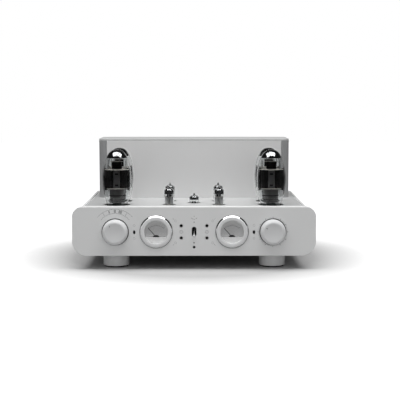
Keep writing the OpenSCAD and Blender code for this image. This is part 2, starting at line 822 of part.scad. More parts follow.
// button-head screws that hold the bottom plate to the side panels' lower ledges
module case_screws() {
    color(steel) for (y = screw_rows, s = [-1, 1]) translate([s * screw_x, y, base_z - 2]) {
        cylinder(r1 = 2.6, r2 = 3.8, h = 2);
        cylinder(r = screw_r, h = bottom_t + ledge_t + 3);
    }
}

faceplate();
sub_panel();
top_deck();
side_panel(-1);  // side_panel_left
side_panel(1);  // side_panel_right
bottom_plate();
rear_panel();
feet();
foot_pads();
cover_front();
cover_rear();
cover_sides();
cover_corner_posts();
cover_top();
power_transformer_core();
power_transformer_coil();
output_transformer_cores();
output_transformer_coils();
choke();
main_board();
filter_capacitors();
glass_at(-1, 0);  // power_valve_glass_front_left
glass_at(1, 0);  // power_valve_glass_front_right
glass_at(-1, 1);  // power_valve_glass_back_left
glass_at(1, 1);  // power_valve_glass_back_right
power_valve_electrodes();
power_valve_bases();
power_valve_sockets();
small_glass_at(-1, 0);  // small_valve_glass_front_left
small_glass_at(1, 0);  // small_valve_glass_front_right
small_glass_at(-1, 1);  // small_valve_glass_back_left
small_glass_at(1, 1);  // small_valve_glass_back_right
translate([0, middle_y, socket_top_z + small_total_h]) small_valve_glass();  // small_valve_glass_middle
small_valve_electrodes();
small_valve_sockets();
meter_bezel(-1);  // meter_bezel_left
meter_bezel(1);  // meter_bezel_right
meter_glasses();
meter_dials();
meter_movements();
meter_needle(-1);  // meter_needle_left
meter_needle(1);  // meter_needle_right
knob(-1);  // selector_knob
control_shaft(-1);  // selector_shaft
control_body(-1, 14, 24);  // selector_switch
knob(1);  // volume_knob
control_shaft(1);  // volume_shaft
control_body(1, 12, 26);  // volume_control
small_toggle(-1);  // toggle_left
small_toggle(1);  // toggle_right
output_lever();
toggle_switches();
headphone_sockets();
power_lamp();
remote_window();
power_inlet();
mains_switch_body();
mains_rocker();
input_sockets();
case_screws();
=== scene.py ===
# %% [markdown]
# # A valve headphone amplifier
# The chassis, the valves, the knobs and the meters are already designed and packed as a frame that
# can't move. This notebook gives each piece the form and the finish that the eye reads: rounded
# edges, blown glass, silvered getters, polished rings and bead-blasted aluminium. It starts by
# loading the frame.

# %% Load the frame
import math

import bmesh
import bpy
import numpy as np
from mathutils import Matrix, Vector
from mathutils.geometry import delaunay_2d_cdt


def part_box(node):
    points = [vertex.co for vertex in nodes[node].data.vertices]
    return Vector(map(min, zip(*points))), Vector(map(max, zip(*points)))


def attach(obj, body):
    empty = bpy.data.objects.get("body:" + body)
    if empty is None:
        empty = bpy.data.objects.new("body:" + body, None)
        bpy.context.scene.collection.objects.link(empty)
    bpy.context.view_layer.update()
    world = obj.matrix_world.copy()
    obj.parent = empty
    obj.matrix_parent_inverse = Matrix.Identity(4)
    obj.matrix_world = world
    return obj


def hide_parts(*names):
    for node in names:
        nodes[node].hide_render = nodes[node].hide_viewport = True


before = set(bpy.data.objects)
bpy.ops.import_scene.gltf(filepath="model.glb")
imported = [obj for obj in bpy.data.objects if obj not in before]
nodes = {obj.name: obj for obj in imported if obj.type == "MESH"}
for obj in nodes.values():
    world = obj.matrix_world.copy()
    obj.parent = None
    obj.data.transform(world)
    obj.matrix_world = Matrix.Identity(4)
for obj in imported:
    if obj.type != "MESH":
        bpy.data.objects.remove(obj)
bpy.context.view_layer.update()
mm = 0.001

# %% [markdown]
# ## Places
# Every place comes from the frame. The faceplate's front face, the line on which the knobs lie and
# the deck's upper face are the three levels that most pieces are set out from.

# %% Places from the frame
plate_low, plate_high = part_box("faceplate")
deck_low, deck_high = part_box("top_deck")
front_y = plate_low.y
deck_z = deck_high.z


def middle(node):
    """The middle of a node's box."""
    low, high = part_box(node)
    return (low + high) / 2


def place_of(node, y=front_y):
    """The point on the faceplate's front, or at another depth, behind which a node is centred."""
    centre = middle(node)
    return Vector((centre.x, y, centre.z))


control_z = middle("selector_knob").z
print("front face at", round(front_y, 4), "controls at", round(control_z, 4), "deck at", round(deck_z, 4))

# %% [markdown]
# ## Camera
# The camera comes first. It stands a little over two metres in front of the faceplate with its lens
# 377 mm above the floor. It looks down by less than six degrees, so that the deck shows as a narrow
# band between the faceplate and the cover.

# %% Camera
eye_distance = 2.226
eye_height = 0.377
tilt = math.radians(90 - 5.77)
pan = math.radians(-0.33)

camera_data = bpy.data.cameras.new("camera")
camera_data.sensor_width = 36
camera_data.lens = 93.15
camera = bpy.data.objects.new("camera", camera_data)
camera.location = (0, front_y - eye_distance, eye_height)
camera.rotation_euler = (tilt, 0, pan)
bpy.context.scene.collection.objects.link(camera)
bpy.context.scene.camera = camera
print("camera", tuple(round(c, 3) for c in camera.location))

# %% [markdown]
# ## Shapes from arrays
# Two kinds of surface make nearly everything here. A turned piece is a profile of radius and height
# carried round an axis. A plate is an outline with holes, whose edge rounding is carried along each
# loop. Both are computed as whole arrays. A profile is written with sharp corners first, and then
# each corner is replaced by an arc.

# %% Outlines
def fillet(points, radii, steps=6):
    """Replaces each corner by an arc. The arc of radius r touches both sides at r / tan(half the
    corner's angle) from the corner, and its centre lies on the bisector at r / sin(half the angle).
    A radius of 0 keeps the corner."""
    points = [np.asarray(p, float) for p in points]
    path = []
    for i, (corner, r) in enumerate(zip(points, radii)):
        if r <= 0:
            path.append(corner[None])
            continue
        u = points[i - 1] - corner
        v = points[(i + 1) % len(points)] - corner
        u, v = u / np.linalg.norm(u), v / np.linalg.norm(v)
        half = math.acos(np.clip(u @ v, -1, 1)) / 2
        centre = corner + (u + v) / np.linalg.norm(u + v) * r / math.sin(half)
        first = corner + u * r / math.tan(half) - centre
        last = corner + v * r / math.tan(half) - centre
        turn = math.atan2(first[0] * last[1] - first[1] * last[0], first @ last)
        t = np.linspace(0, turn, steps + 1)[:, None]
        side = np.array([-first[1], first[0]])
        path.append(centre + first * np.cos(t) + side * np.sin(t))
    return np.concatenate(path)


def circle(x, z, r, steps=64):
    """A circle of radius r: x + r cos t, z + r sin t."""
    t = np.linspace(0, 2 * math.pi, steps, endpoint=False)
    return np.stack([x + r * np.cos(t), z + r * np.sin(t)], 1)


def arc(r, start, end, steps=32):
    """Points of an arc round the origin. Angles are in degrees, clockwise from straight up."""
    t = np.radians(np.linspace(start, end, steps))
    return np.stack([r * np.sin(t), r * np.cos(t)], 1)


def box_outline(x, z, w, h, r):
    """A rectangle of w by h about a point, with corners of radius r."""
    corners = [(x - w / 2, z - h / 2), (x + w / 2, z - h / 2), (x + w / 2, z + h / 2), (x - w / 2, z + h / 2)]
    return fillet(corners, [r] * 4)


def area(loop):
    """Signed area of a closed loop: positive where it runs anticlockwise."""
    x, y = loop[:, 0], loop[:, 1]
    return 0.5 * np.sum(x * np.roll(y, -1) - y * np.roll(x, -1))


# %% [markdown]
# The arrays then go into a mesh. Points that meet at a pole or a seam are merged there, so that each
# piece is one closed skin. Edges sharper than a given angle stay crisp, and all others shade smooth.
# Each shape is worked out lying on its back, with its face upwards, and is then turned to face the
# front, the rear or the side as part of its mesh, so the object itself stays at the origin.

# %% Arrays into meshes
TURNS = {
    "up": np.array([[1, 0, 0], [0, 1, 0], [0, 0, 1]], float),
    "front": np.array([[1, 0, 0], [0, 0, -1], [0, 1, 0]], float),
    "rear": np.array([[-1, 0, 0], [0, 0, 1], [0, 1, 0]], float),
    "left": np.array([[0, 0, -1], [-1, 0, 0], [0, 1, 0]], float),
    "right": np.array([[0, 0, 1], [1, 0, 0], [0, 1, 0]], float),
}


def placed(points, where=(0, 0, 0), facing="up"):
    """Millimetres lying on their back become metres that face a side, moved to their place."""
    return np.asarray(points, float) * mm @ TURNS[facing].T + np.asarray(where, float)


def grid_faces(rows, columns, wrap_rows=True, wrap_columns=True):
    """Quads between neighbouring points of a grid, as indices into its flattened points."""
    index = np.arange(rows * columns).reshape(rows, columns)
    a = index if wrap_rows else index[:-1]
    b = np.roll(index, -1, 0) if wrap_rows else index[1:]
    if wrap_columns:
        quads = [a, b, np.roll(b, -1, 1), np.roll(a, -1, 1)]
    else:
        quads = [a[:, :-1], b[:, :-1], b[:, 1:], a[:, 1:]]
    return np.stack(quads, -1).reshape(-1, 4)


def joined(parts):
    """Several (points, faces) pairs as one: each part's indices are moved past the earlier points."""
    points, faces, count = [], [], 0
    for part_points, part_faces in parts:
        points.append(part_points)
        faces.extend((np.asarray(f) + count).tolist() for f in part_faces)
        count += len(part_points)
    return np.concatenate(points), faces


def make_piece(name, points, faces, sharp=32):
    """A mesh object at the origin, with doubles merged and a smooth shade up to the sharp angle."""
    mesh = bpy.data.meshes.new(name)
    mesh.from_pydata(np.asarray(points).tolist(), [], [list(f) for f in faces])
    work = bmesh.new()
    work.from_mesh(mesh)
    bmesh.ops.remove_doubles(work, verts=work.verts, dist=1e-6)
    bmesh.ops.dissolve_degenerate(work, edges=work.edges, dist=1e-7)
    work.to_mesh(mesh)
    work.free()
    mesh.shade_smooth()
    mesh.set_sharp_from_angle(angle=math.radians(sharp))
    piece = bpy.data.objects.new(name, mesh)
    bpy.context.scene.collection.objects.link(piece)
    return piece


def even_normals(piece):
    """Lets the largest faces decide each corner's normal, so that flat faces shade flat."""
    weights = piece.modifiers.new("even normals", "WEIGHTED_NORMAL")
    weights.keep_sharp = True
    weights.weight = 100
    return piece


def dress(piece, material, body, slot, *replaced):
    """Gives a piece its material, its body and the nodes it stands for. The slot is not used."""
    piece.data.materials.append(material)
    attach(piece, body)
    if replaced:
        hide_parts(*replaced)
    return piece


# %% Turned pieces
def turned_part(profile, where=(0, 0, 0), facing="up", steps=96):
    """A closed profile of (radius, height) carried round the axis: x = r cos t, y = r sin t, z = h.
    It runs anticlockwise, so that every face points outwards."""
    profile = np.asarray(profile, float)
    if area(profile) < 0:
        profile = profile[::-1]
    t = np.linspace(0, 2 * math.pi, steps, endpoint=False)[:, None]
    r, h = profile[None, :, 0], profile[None, :, 1]
    grid = np.stack([r * np.cos(t), r * np.sin(t), h + 0 * t], -1)
    return placed(grid.reshape(-1, 3), where, facing), grid_faces(steps, len(profile))


def turned(name, profile, where=(0, 0, 0), facing="up", steps=96, sharp=32):
    """One turned piece."""
    return make_piece(name, *turned_part(profile, where, facing, steps), sharp)


# %% Plates with holes
def offset(loop, inset):
    """Moves a loop towards its own material, which lies on its left. Each point goes along the sum
    of its two sides' normals over one plus their product, which keeps the sides parallel."""
    ahead = np.roll(loop, -1, 0) - loop
    normal = np.stack([ahead[:, 1], -ahead[:, 0]], 1)
    normal /= np.linalg.norm(normal, axis=1)[:, None]
    before = np.roll(normal, 1, 0)
    bisector = (normal + before) / (1 + np.sum(normal * before, 1))[:, None]
    return loop - bisector * inset


CUT_BY_RINGS = 2


def capped(loops, height, up):
    """Triangles that fill the area between an outline and its holes, all at one height."""
    points = np.concatenate(loops)
    starts = np.cumsum([0] + [len(loop) for loop in loops])
    rings = [list(range(a, b)) for a, b in zip(starts[:-1], starts[1:])]
    found = delaunay_2d_cdt([Vector(p) for p in points], [], rings, CUT_BY_RINGS, 1e-5)
    flat = np.array([tuple(v) for v in found[0]])
    triangles = [f if up else f[::-1] for f in found[2]]
    return np.column_stack([flat, np.full(len(flat), height)]), triangles


def plate_part(outline, holes, thickness, edge, where, facing, steps=5, back_edge=0.0):
    """A plate from height 0 to its thickness. Round the upper face the edge is a quarter circle:
    at angle t the loop is inset by edge (1 - sin t) and lies edge (1 - cos t) below the face."""
    loops = [outline if area(outline) > 0 else outline[::-1]]
    loops += [h if area(h) < 0 else h[::-1] for h in holes]
    t = np.linspace(0, math.pi / 2, steps + 1)
    inset = edge * (1 - np.sin(t))
    height = thickness - edge * (1 - np.cos(t))
    inset, height = np.append(inset, [0, back_edge]), np.append(height, [back_edge, 0])
    parts = []
    for loop in loops:
        rings = [np.column_stack([offset(loop, i), np.full(len(loop), h)]) for i, h in zip(inset, height)]
        parts.append((np.concatenate(rings), grid_faces(len(rings), len(loop), wrap_rows=False)))
    parts.append(capped([offset(loop, inset[0]) for loop in loops], thickness, True))
    parts.append(capped([offset(loop, inset[-1]) for loop in loops], 0.0, False))
    points, faces = joined(parts)
    return placed(points, where, facing), faces


def plate(name, outline, holes, thickness, edge, where, facing, sharp=32, **more):
    """One plate as a piece, its large flat faces flat and its rounded edges smooth."""
    skin = plate_part(outline, holes, thickness, edge, where, facing, **more)
    return even_normals(make_piece(name, *skin, sharp))


# %% Inlaid lines
def line_part(path, width, where, facing, lift=0.05, sink=0.05, closed=False):
    """A flat line along a path: a rectangle of width by lift + sink carried along it, with ends."""
    path = np.asarray(path, float)
    ahead = np.roll(path, -1, 0) - path if closed else np.gradient(path, axis=0)
    normal = np.stack([ahead[:, 1], -ahead[:, 0]], 1)
    normal /= np.linalg.norm(normal, axis=1)[:, None]
    right, left = path + normal * width / 2, path - normal * width / 2
    section = [(right, -sink), (right, lift), (left, lift), (left, -sink)]
    grid = np.stack([np.column_stack([side, np.full(len(path), h)]) for side, h in section], 1)
    faces = grid_faces(len(path), 4, wrap_rows=closed).tolist()
    if not closed:
        last = 4 * (len(path) - 1)
        faces += [[3, 2, 1, 0], [last, last + 1, last + 2, last + 3]]
    return placed(grid.reshape(-1, 3), where, facing), [f[::-1] for f in faces]


def disc_part(x, z, r, where, facing, lift=0.05, sink=0.05, steps=20):
    """A small filled spot: a flat cylinder about a point."""
    profile = [(0, -sink), (r, -sink), (r, lift), (0, lift)]
    points, faces = turned_part(profile, (0, 0, 0), "up", steps)
    return placed(points / mm + np.array([x, z, 0]), where, facing), faces


print("shape helpers ready")

# %% [markdown]
# ## Finishes
# The amplifier is nearly all one finish: aluminium that was blasted with fine glass beads and then
# anodised. It scatters light softly, with a grain far finer than a millimetre and a faint cloudy
# unevenness. Three node groups hold what several finishes share: the grain, the cloudiness and a
# thin film of dust and fingerprints that only changes the roughness.

# %% Shared node groups
def node_group(name, inputs, outputs):
    """A shader node group with float or colour sockets, and its input and output nodes."""
    group = bpy.data.node_groups.new(name, "ShaderNodeTree")
    for label, value in inputs.items():
        kind = "NodeSocketColor" if isinstance(value, tuple) else "NodeSocketFloat"
        socket = group.interface.new_socket(label, in_out="INPUT", socket_type=kind)
        socket.default_value = value
    for label, kind in outputs.items():
        group.interface.new_socket(label, in_out="OUTPUT", socket_type=kind)
    return group, group.nodes.new("NodeGroupInput"), group.nodes.new("NodeGroupOutput")


def noise(tree, scale, detail=2.0, rough=0.5):
    """A noise texture on Object coordinates, in features per metre."""
    place = tree.nodes.new("ShaderNodeTexCoord")
    texture = tree.nodes.new("ShaderNodeTexNoise")
    texture.inputs["Detail"].default_value = detail
    texture.inputs["Roughness"].default_value = rough
    tree.links.new(place.outputs["Object"], texture.inputs["Vector"])
    if hasattr(scale, "is_linked"):
        tree.links.new(scale, texture.inputs["Scale"])
    else:
        texture.inputs["Scale"].default_value = scale
    return texture


def maths(tree, operation, a, b, c=None):
    """A math node whose operands are numbers or other nodes' outputs."""
    node = tree.nodes.new("ShaderNodeMath")
    node.operation = operation
    for socket, value in zip(node.inputs, (a, b, c)):
        if value is None:
            continue
        if hasattr(value, "is_linked"):
            tree.links.new(value, socket)
        else:
            socket.default_value = value
    return node.outputs[0]


def make_grain_group():
    """Height of a blasted or moulded surface: fine noise, with a coarser noise at a third of it."""
    sizes = {"Scale": 2500.0, "Coarse Scale": 900.0}
    group, inp, out = node_group("fine_grain", sizes, {"Height": "NodeSocketFloat"})
    fine = noise(group, inp.outputs["Scale"], 2.0)
    coarse = noise(group, inp.outputs["Coarse Scale"], 1.0)
    third = maths(group, "MULTIPLY", coarse.outputs["Fac"], 0.33)
    group.links.new(maths(group, "ADD", fine.outputs["Fac"], third), out.inputs["Height"])
    return group


def make_cloud_group():
    """A colour that drifts by a few hundredths over several centimetres, darker and lighter."""
    values = {"Color": (0.8, 0.8, 0.8, 1), "Amount": 0.05, "Scale": 14.0}
    group, inp, out = node_group("cloudy_tone", values, {"Color": "NodeSocketColor"})
    cloud = noise(group, inp.outputs["Scale"], 3.0)
    centred = maths(group, "SUBTRACT", cloud.outputs["Fac"], 0.5)
    factor = maths(group, "MULTIPLY_ADD", centred, inp.outputs["Amount"], 1.0)
    scaled = group.nodes.new("ShaderNodeVectorMath")
    scaled.operation = "SCALE"
    group.links.new(inp.outputs["Color"], scaled.inputs[0])
    group.links.new(factor, scaled.inputs["Scale"])
    group.links.new(scaled.outputs["Vector"], out.inputs["Color"])
    return group


def make_film_group():
    """Roughness with a thin uneven film: the base value, plus an amount where the noise is high."""
    values = {"Roughness": 0.4, "Amount": 0.08, "Scale": 30.0}
    group, inp, out = node_group("thin_film", values, {"Roughness": "NodeSocketFloat"})
    patch = noise(group, inp.outputs["Scale"], 4.0, 0.6)
    amount, base = inp.outputs["Amount"], inp.outputs["Roughness"]
    added = maths(group, "MULTIPLY_ADD", patch.outputs["Fac"], amount, base)
    group.links.new(added, out.inputs["Roughness"])
    return group


GRAIN, CLOUD, FILM = make_grain_group(), make_cloud_group(), make_film_group()
print("node groups:", GRAIN.name, CLOUD.name, FILM.name)


# %% A finish from the groups
def use_group(tree, group, **values):
    """Places a group in a material and sets its inputs by name, with _ for a space."""
    node = tree.nodes.new("ShaderNodeGroup")
    node.node_tree = group
    for label, value in values.items():
        node.inputs[label.replace("_", " ")].default_value = value
    return node


def finish(name, color, roughness, metallic=0.0, grain=0.0, grain_scale=2500.0, cloud=0.05,
           film=0.06, **sockets):
    """A Principled material with a cloudy colour, a film on its roughness and a grain in its bump.
    grain is the bump's depth in metres. Other sockets are set by name, with _ for a space."""
    material = bpy.data.materials.new(name)
    material.use_nodes = True
    tree = material.node_tree
    shader = tree.nodes["Principled BSDF"]
    shader.inputs["Metallic"].default_value = metallic
    tone = use_group(tree, CLOUD, Color=(*color, 1), Amount=cloud)
    tree.links.new(tone.outputs["Color"], shader.inputs["Base Color"])
    coat = use_group(tree, FILM, Roughness=roughness, Amount=film)
    tree.links.new(coat.outputs["Roughness"], shader.inputs["Roughness"])
    if grain:
        height = use_group(tree, GRAIN, Scale=grain_scale, Coarse_Scale=grain_scale / 3)
        bump = tree.nodes.new("ShaderNodeBump")
        bump.inputs["Distance"].default_value = grain
        bump.inputs["Strength"].default_value = 0.5
        tree.links.new(height.outputs["Height"], bump.inputs["Height"])
        tree.links.new(bump.outputs["Normal"], shader.inputs["Normal"])
    for label, value in sockets.items():
        shader.inputs[label.replace("_", " ")].default_value = value
    return material


# %% [markdown]
# The faceplate, the deck, the cover's posts, its front panel, the knobs and the meters' rings each
# have their own tone and roughness, all of the same aluminium. The tones are painted light and shade:
# the deck, the cover's top, the posts and the knobs are darker than the faceplate, and the cover's
# front panel and the meters' rings are lighter, to stand for how the light falls on each.

# %% Aluminium finishes
satin = finish("blasted_aluminium", (0.77, 0.775, 0.775), 0.55, 0.2, grain=0.00003, cloud=0.03)
# Deck and cover top: darker than the faceplate, painted shade.
deck_satin_painted_shade = finish("deck_aluminium", (0.58, 0.585, 0.585), 0.5, 0.3, grain=0.00003, cloud=0.03)
# Cover posts: darker, painted shade for the shaded corners of the cover.
post_satin_painted_shade = finish("post_aluminium_painted_shade", (0.50, 0.505, 0.51), 0.5, 0.6, grain=0.00003, cloud=0.03)
# Cover's front panel: lighter than the faceplate, painted light.
cover_satin_painted_light = finish("cover_aluminium_painted_light", (0.86, 0.86, 0.86), 0.55, 0.4, grain=0.00003, cloud=0.03)
# Knobs and the output lever: darker than the faceplate, painted shade.
knob_satin_painted_shade = finish("knob_aluminium", (0.63, 0.635, 0.64), 0.75, 0.1, grain=0.00002, cloud=0.02)
# Meters' broad rings: lighter than the faceplate, painted light.
ring_satin_painted_light = finish("ring_aluminium_painted_light", (0.84, 0.845, 0.85), 0.45, 0.3, cloud=0.02)
print("aluminium finishes ready")

# %% Other opaque finishes
polished = finish("polished_ring", (0.82, 0.82, 0.83), 0.08, 1.0, cloud=0.01, film=0.03)
steel = finish("plated_steel", (0.55, 0.56, 0.58), 0.35, 1.0, grain=0.00003)
recess_painted_shade = finish("recess_shade", (0.025, 0.025, 0.026), 0.6, 0.2)
engraving = finish("engraved_grey", (0.10, 0.10, 0.105), 0.6, 0.1, cloud=0.2)
faint_engraving = finish("faint_grey", (0.26, 0.265, 0.27), 0.6, 0.3, cloud=0.15)
black_plastic = finish("black_moulding", (0.012, 0.012, 0.013), 0.38, grain=0.00002, grain_scale=1500)
rubber = finish("pad_rubber", (0.02, 0.02, 0.02), 0.75, grain=0.00005, grain_scale=900)
board_green = finish("board_green", (0.02, 0.10, 0.05), 0.35, grain=0.00003, grain_scale=400)
winding = finish("winding_tape", (0.50, 0.33, 0.10), 0.5, grain=0.00004, grain_scale=300)
sleeve = finish("capacitor_sleeve", (0.03, 0.04, 0.07), 0.3)
gilt = finish("gilt_contact", (0.86, 0.68, 0.36), 0.2, 1.0)
lens = finish("lamp_lens", (0.10, 0.10, 0.105), 0.3)
red_ring = finish("red_ring", (0.45, 0.02, 0.02), 0.35)
white_ring = finish("white_ring", (0.75, 0.75, 0.73), 0.35)
print("other opaque finishes ready")

# %% Finishes inside the valves
anode_black = finish("carbonised_anode", (0.004, 0.004, 0.004), 0.8, grain=0.00004, grain_scale=1800,
                     Specular_IOR_Level=0.15)
anode_rib = finish("anode_rib", (0.09, 0.09, 0.09), 0.6, 0.1, grain=0.00003, grain_scale=1800)
shield_grey = finish("shield_grey", (0.13, 0.13, 0.13), 0.3, 0.6, grain=0.00003, grain_scale=1600, cloud=0.9)
grey_metal = finish("electrode_grey", (0.22, 0.22, 0.225), 0.35, 0.8, grain=0.00003, grain_scale=1600)
small_grey = finish("small_anode_grey", (0.55, 0.55, 0.555), 0.4, 0.6, grain=0.00004, grain_scale=900,
                    cloud=0.4)
mica = finish("mica_disc", (0.42, 0.40, 0.37), 0.35, film=0.2)
ceramic = finish("glazed_ceramic", (0.08, 0.075, 0.07), 0.3)
getter = finish("getter_mirror", (0.28, 0.28, 0.285), 0.06, 1.0, cloud=0.12, film=0.02)
stem_glass = finish("stem_glass", (0.16, 0.17, 0.17), 0.15)
print("valve finishes ready")

# %% [markdown]
# The two printed cards behind a meter's glass also glow very faintly. A lamp's light is carried
# badly through bending glass, and the glow stands for the part that would be lost.

# %% Dial finishes
GLOW = {"Emission_Color": (1, 1, 1, 1)}
dial_grey = finish("dial_card", (0.72, 0.725, 0.73), 0.6, cloud=0.10, Emission_Strength=0.15, **GLOW)
cover_grey = finish("dial_cover", (0.92, 0.92, 0.92), 0.5, cloud=0.03, Emission_Strength=0.20, **GLOW)
print("dial finishes ready")

# %% [markdown]
# Valve glass is clear, thin and blown. Its wall is real geometry, so the light bends at both faces
# and the sides darken as they do on a real bulb. Lamps can't shine through bent light quickly, so
# for shadow rays the wall is simply see-through.

# %% Glass
def clear_glass(name, tint, index, roughness=0.0):
    """Clear glass whose shadow is light: a transparent shader takes over for shadow rays."""
    material = bpy.data.materials.new(name)
    material.use_nodes = True
    tree = material.node_tree
    shader = tree.nodes["Principled BSDF"]
    shader.inputs["Base Color"].default_value = (*tint, 1)
    shader.inputs["Transmission Weight"].default_value = 1.0
    shader.inputs["IOR"].default_value = index
    coat = use_group(tree, FILM, Roughness=roughness, Amount=0.02, Scale=60.0)
    tree.links.new(coat.outputs["Roughness"], shader.inputs["Roughness"])
    rays = tree.nodes.new("ShaderNodeLightPath")
    see_through = tree.nodes.new("ShaderNodeBsdfTransparent")
    see_through.inputs["Color"].default_value = (0.93, 0.94, 0.94, 1)
    mix = tree.nodes.new("ShaderNodeMixShader")
    tree.links.new(rays.outputs["Is Shadow Ray"], mix.inputs["Fac"])
    tree.links.new(shader.outputs["BSDF"], mix.inputs[1])
    tree.links.new(see_through.outputs["BSDF"], mix.inputs[2])
    tree.links.new(mix.outputs["Shader"], tree.nodes["Material Output"].inputs["Surface"])
    return material


bulb_glass = clear_glass("bulb_glass", (0.94, 0.95, 0.95), 1.22)
window_glass = clear_glass("window_glass", (0.99, 0.99, 0.99), 1.15)
print("glass ready")

# %% [markdown]
# ## Parts that keep their drawn shape
# The side panels, the rear panel, the sockets and everything inside keep the frame's own mesh. On
# those that are seen, a weld and a narrow bevel give the edges the small radius that catches the
# light. The bevel only shows where two faces meet at more than thirty degrees.

# %% Finishes for the frame's own nodes
FRAME_FINISHES = {
    "side_panel_left": satin, "side_panel_right": satin, "rear_panel": satin,
    "sub_panel": steel, "bottom_plate": steel, "foot_pads": rubber,
    "power_transformer_core": steel, "power_transformer_coil": winding,
    "output_transformer_cores": steel, "output_transformer_coils": winding, "choke": steel,
    "main_board": board_green, "filter_capacitors": sleeve, "power_valve_bases": black_plastic,
    "power_valve_sockets": ceramic, "small_valve_sockets": ceramic,
    "meter_glasses": window_glass, "meter_movements": black_plastic,
    "meter_needle_left": black_plastic, "meter_needle_right": black_plastic,
    "selector_shaft": steel, "selector_switch": steel, "volume_shaft": steel,
    "volume_control": steel, "toggle_left": black_plastic, "toggle_right": black_plastic,
    "output_lever": knob_satin_painted_shade, "toggle_switches": black_plastic,
    "headphone_sockets": black_plastic, "power_lamp": lens, "remote_window": black_plastic,
    "power_inlet": black_plastic, "mains_switch_body": black_plastic,
    "mains_rocker": black_plastic, "input_sockets": gilt, "case_screws": steel,
}
SOFT_EDGES = {
    "side_panel_left": 0.6, "side_panel_right": 0.6, "rear_panel": 0.3, "bottom_plate": 0.3,
    "power_inlet": 0.4, "mains_rocker": 0.4, "toggle_left": 0.3, "toggle_right": 0.3,
}


def soften(node, width):
    """A weld and a bevel as live modifiers, so that the node's own mesh stays as it was packed."""
    weld = node.modifiers.new("weld", "WELD")
    weld.merge_threshold = 1e-6
    bevel = node.modifiers.new("bevel", "BEVEL")
    bevel.width = width * mm
    bevel.segments = 2
    bevel.limit_method = "ANGLE"
    bevel.angle_limit = math.radians(30)
    even_normals(node)


for name, material in FRAME_FINISHES.items():
    node = nodes[name]
    node.data.materials.clear()
    node.data.materials.append(material)
    node.data.set_sharp_from_angle(angle=math.radians(30))
for name, width in SOFT_EDGES.items():
    soften(nodes[name], width)
print(len(FRAME_FINISHES), "frame parts finished")

# %% [markdown]
# ## Rings of the input sockets
# On the rear, each input has two sockets, one above the other. A moulded ring round the flange says
# which channel it is: white for the left one above, and red for the right one below.

# %% Socket rings
def socket_rings():
    """Both rows of rings. The flanges' radius and spacing give the number of columns."""
    low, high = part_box("input_sockets")
    flange, pitch = 7 * mm, 26 * mm
    columns = round((high.x - low.x - 2 * flange) / pitch) + 1
    section = [(7.1, 0.1), (8.2, 0.1), (8.2, 1.6), (7.1, 1.6)]
    rear_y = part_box("rear_panel")[1].y
    rows = ("white_rings", white_ring, high.z - flange), ("red_rings", red_ring, low.z + flange)
    for name, material, z in rows:
        middles = [(low.x + flange + i * pitch, rear_y, z) for i in range(columns)]
        rings = [turned_part(section, place, "rear", 40) for place in middles]
        dress(make_piece(name, *joined(rings)), material, "chassis", "black_plastic")
    return columns


print(socket_rings(), "pairs of input sockets")

# %% [markdown]
# ## Faceplate
# The front is one slab of aluminium, twenty millimetres thick, milled with large rounded corners,
# tighter above than below. Its sides are bowed by a millimetre, and its front edge is broken by a
# rounding of a little over a millimetre, which shows as a thin light line along the top.

# %% Faceplate outline
plate_w = (plate_high.x - plate_low.x) / mm
plate_h = (plate_high.z - plate_low.z) / mm
plate_t = (plate_high.y - plate_low.y) / mm
top_corner, low_corner, bow = 21.0, 31.0, 1.1
plate_mid_z = (plate_low.z + plate_high.z) / 2
line_drop = (plate_mid_z - control_z) / mm
plate_back = (0, plate_high.y, plate_mid_z)


def faceplate_outline():
    """A rectangle with rounded corners whose sides are bowed: every x is scaled by one less the bow,
    as a share of half the width, times the square of the height's share of half the height."""
    half_w, half_h = plate_w / 2, plate_h / 2
    corners = [(-half_w, -half_h), (half_w, -half_h), (half_w, half_h), (-half_w, half_h)]
    loop = fillet(corners, [low_corner, low_corner, top_corner, top_corner], 16)
    return loop * np.stack([1 - bow / half_w * (loop[:, 1] / half_h) ** 2, np.ones(len(loop))], 1)


def on_plate(node):
    """A node's middle as (x, z) in millimetres from the faceplate's middle."""
    centre = middle(node)
    return centre.x / mm, (centre.z - plate_mid_z) / mm


def slot_outline(x, z, w, h):
    """An upright slot with round ends."""
    return box_outline(x, z, w, h, w / 2 - 0.01)


print("faceplate", round(plate_w), "by", round(plate_h), "by", round(plate_t))

# %% [markdown]
# The knobs and the meters sit in shallow round recesses. Seen from the front, each recess is the
# thin dark line round its knob, so it has to be real. The plate has a hole of the recess's radius,
# and a ring with the smaller bore closes that hole behind the recess. The ring is coloured near
# black, painted shade that deepens the line. Each headphone socket is lined by a narrow bright ring.
# The slot, the toggles, the lamp and the window have plain holes.

# %% Faceplate
JACK_BOX_EDGE, JACK_BOX_TOP = 7, 4.8
jack_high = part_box("headphone_sockets")[1]
jack_x = jack_high.x / mm - JACK_BOX_EDGE
jack_z = (jack_high.z - control_z) / mm - JACK_BOX_TOP
knob_recess = {"radius": 29.3, "depth": 2.5, "bore": 4.9}
meter_recess = {"radius": 36.0, "depth": 1.5, "bore": 26.3}
recesses = {"selector_knob": knob_recess, "volume_knob": knob_recess,
            "meter_bezel_left": meter_recess, "meter_bezel_right": meter_recess}

holes = [circle(*on_plate(node), recess["radius"], 128) for node, recess in recesses.items()]
holes += [slot_outline(*on_plate(node), 5, 8) for node in ("toggle_left", "toggle_right")]
holes += [circle(s * jack_x, k * jack_z - line_drop, 4.1, 40) for s in (-1, 1) for k in (-1, 1)]
holes += [slot_outline(0, -line_drop, 10, 22)]
holes += [circle(*on_plate("power_lamp"), 1.4, 24), circle(*on_plate("remote_window"), 2.9, 32)]
face = plate("front_plate", faceplate_outline(), holes, plate_t, 1.1, plate_back, "front")
dress(face, satin, "chassis", "satin_aluminium", "faceplate")
print("faceplate with", len(holes), "holes")


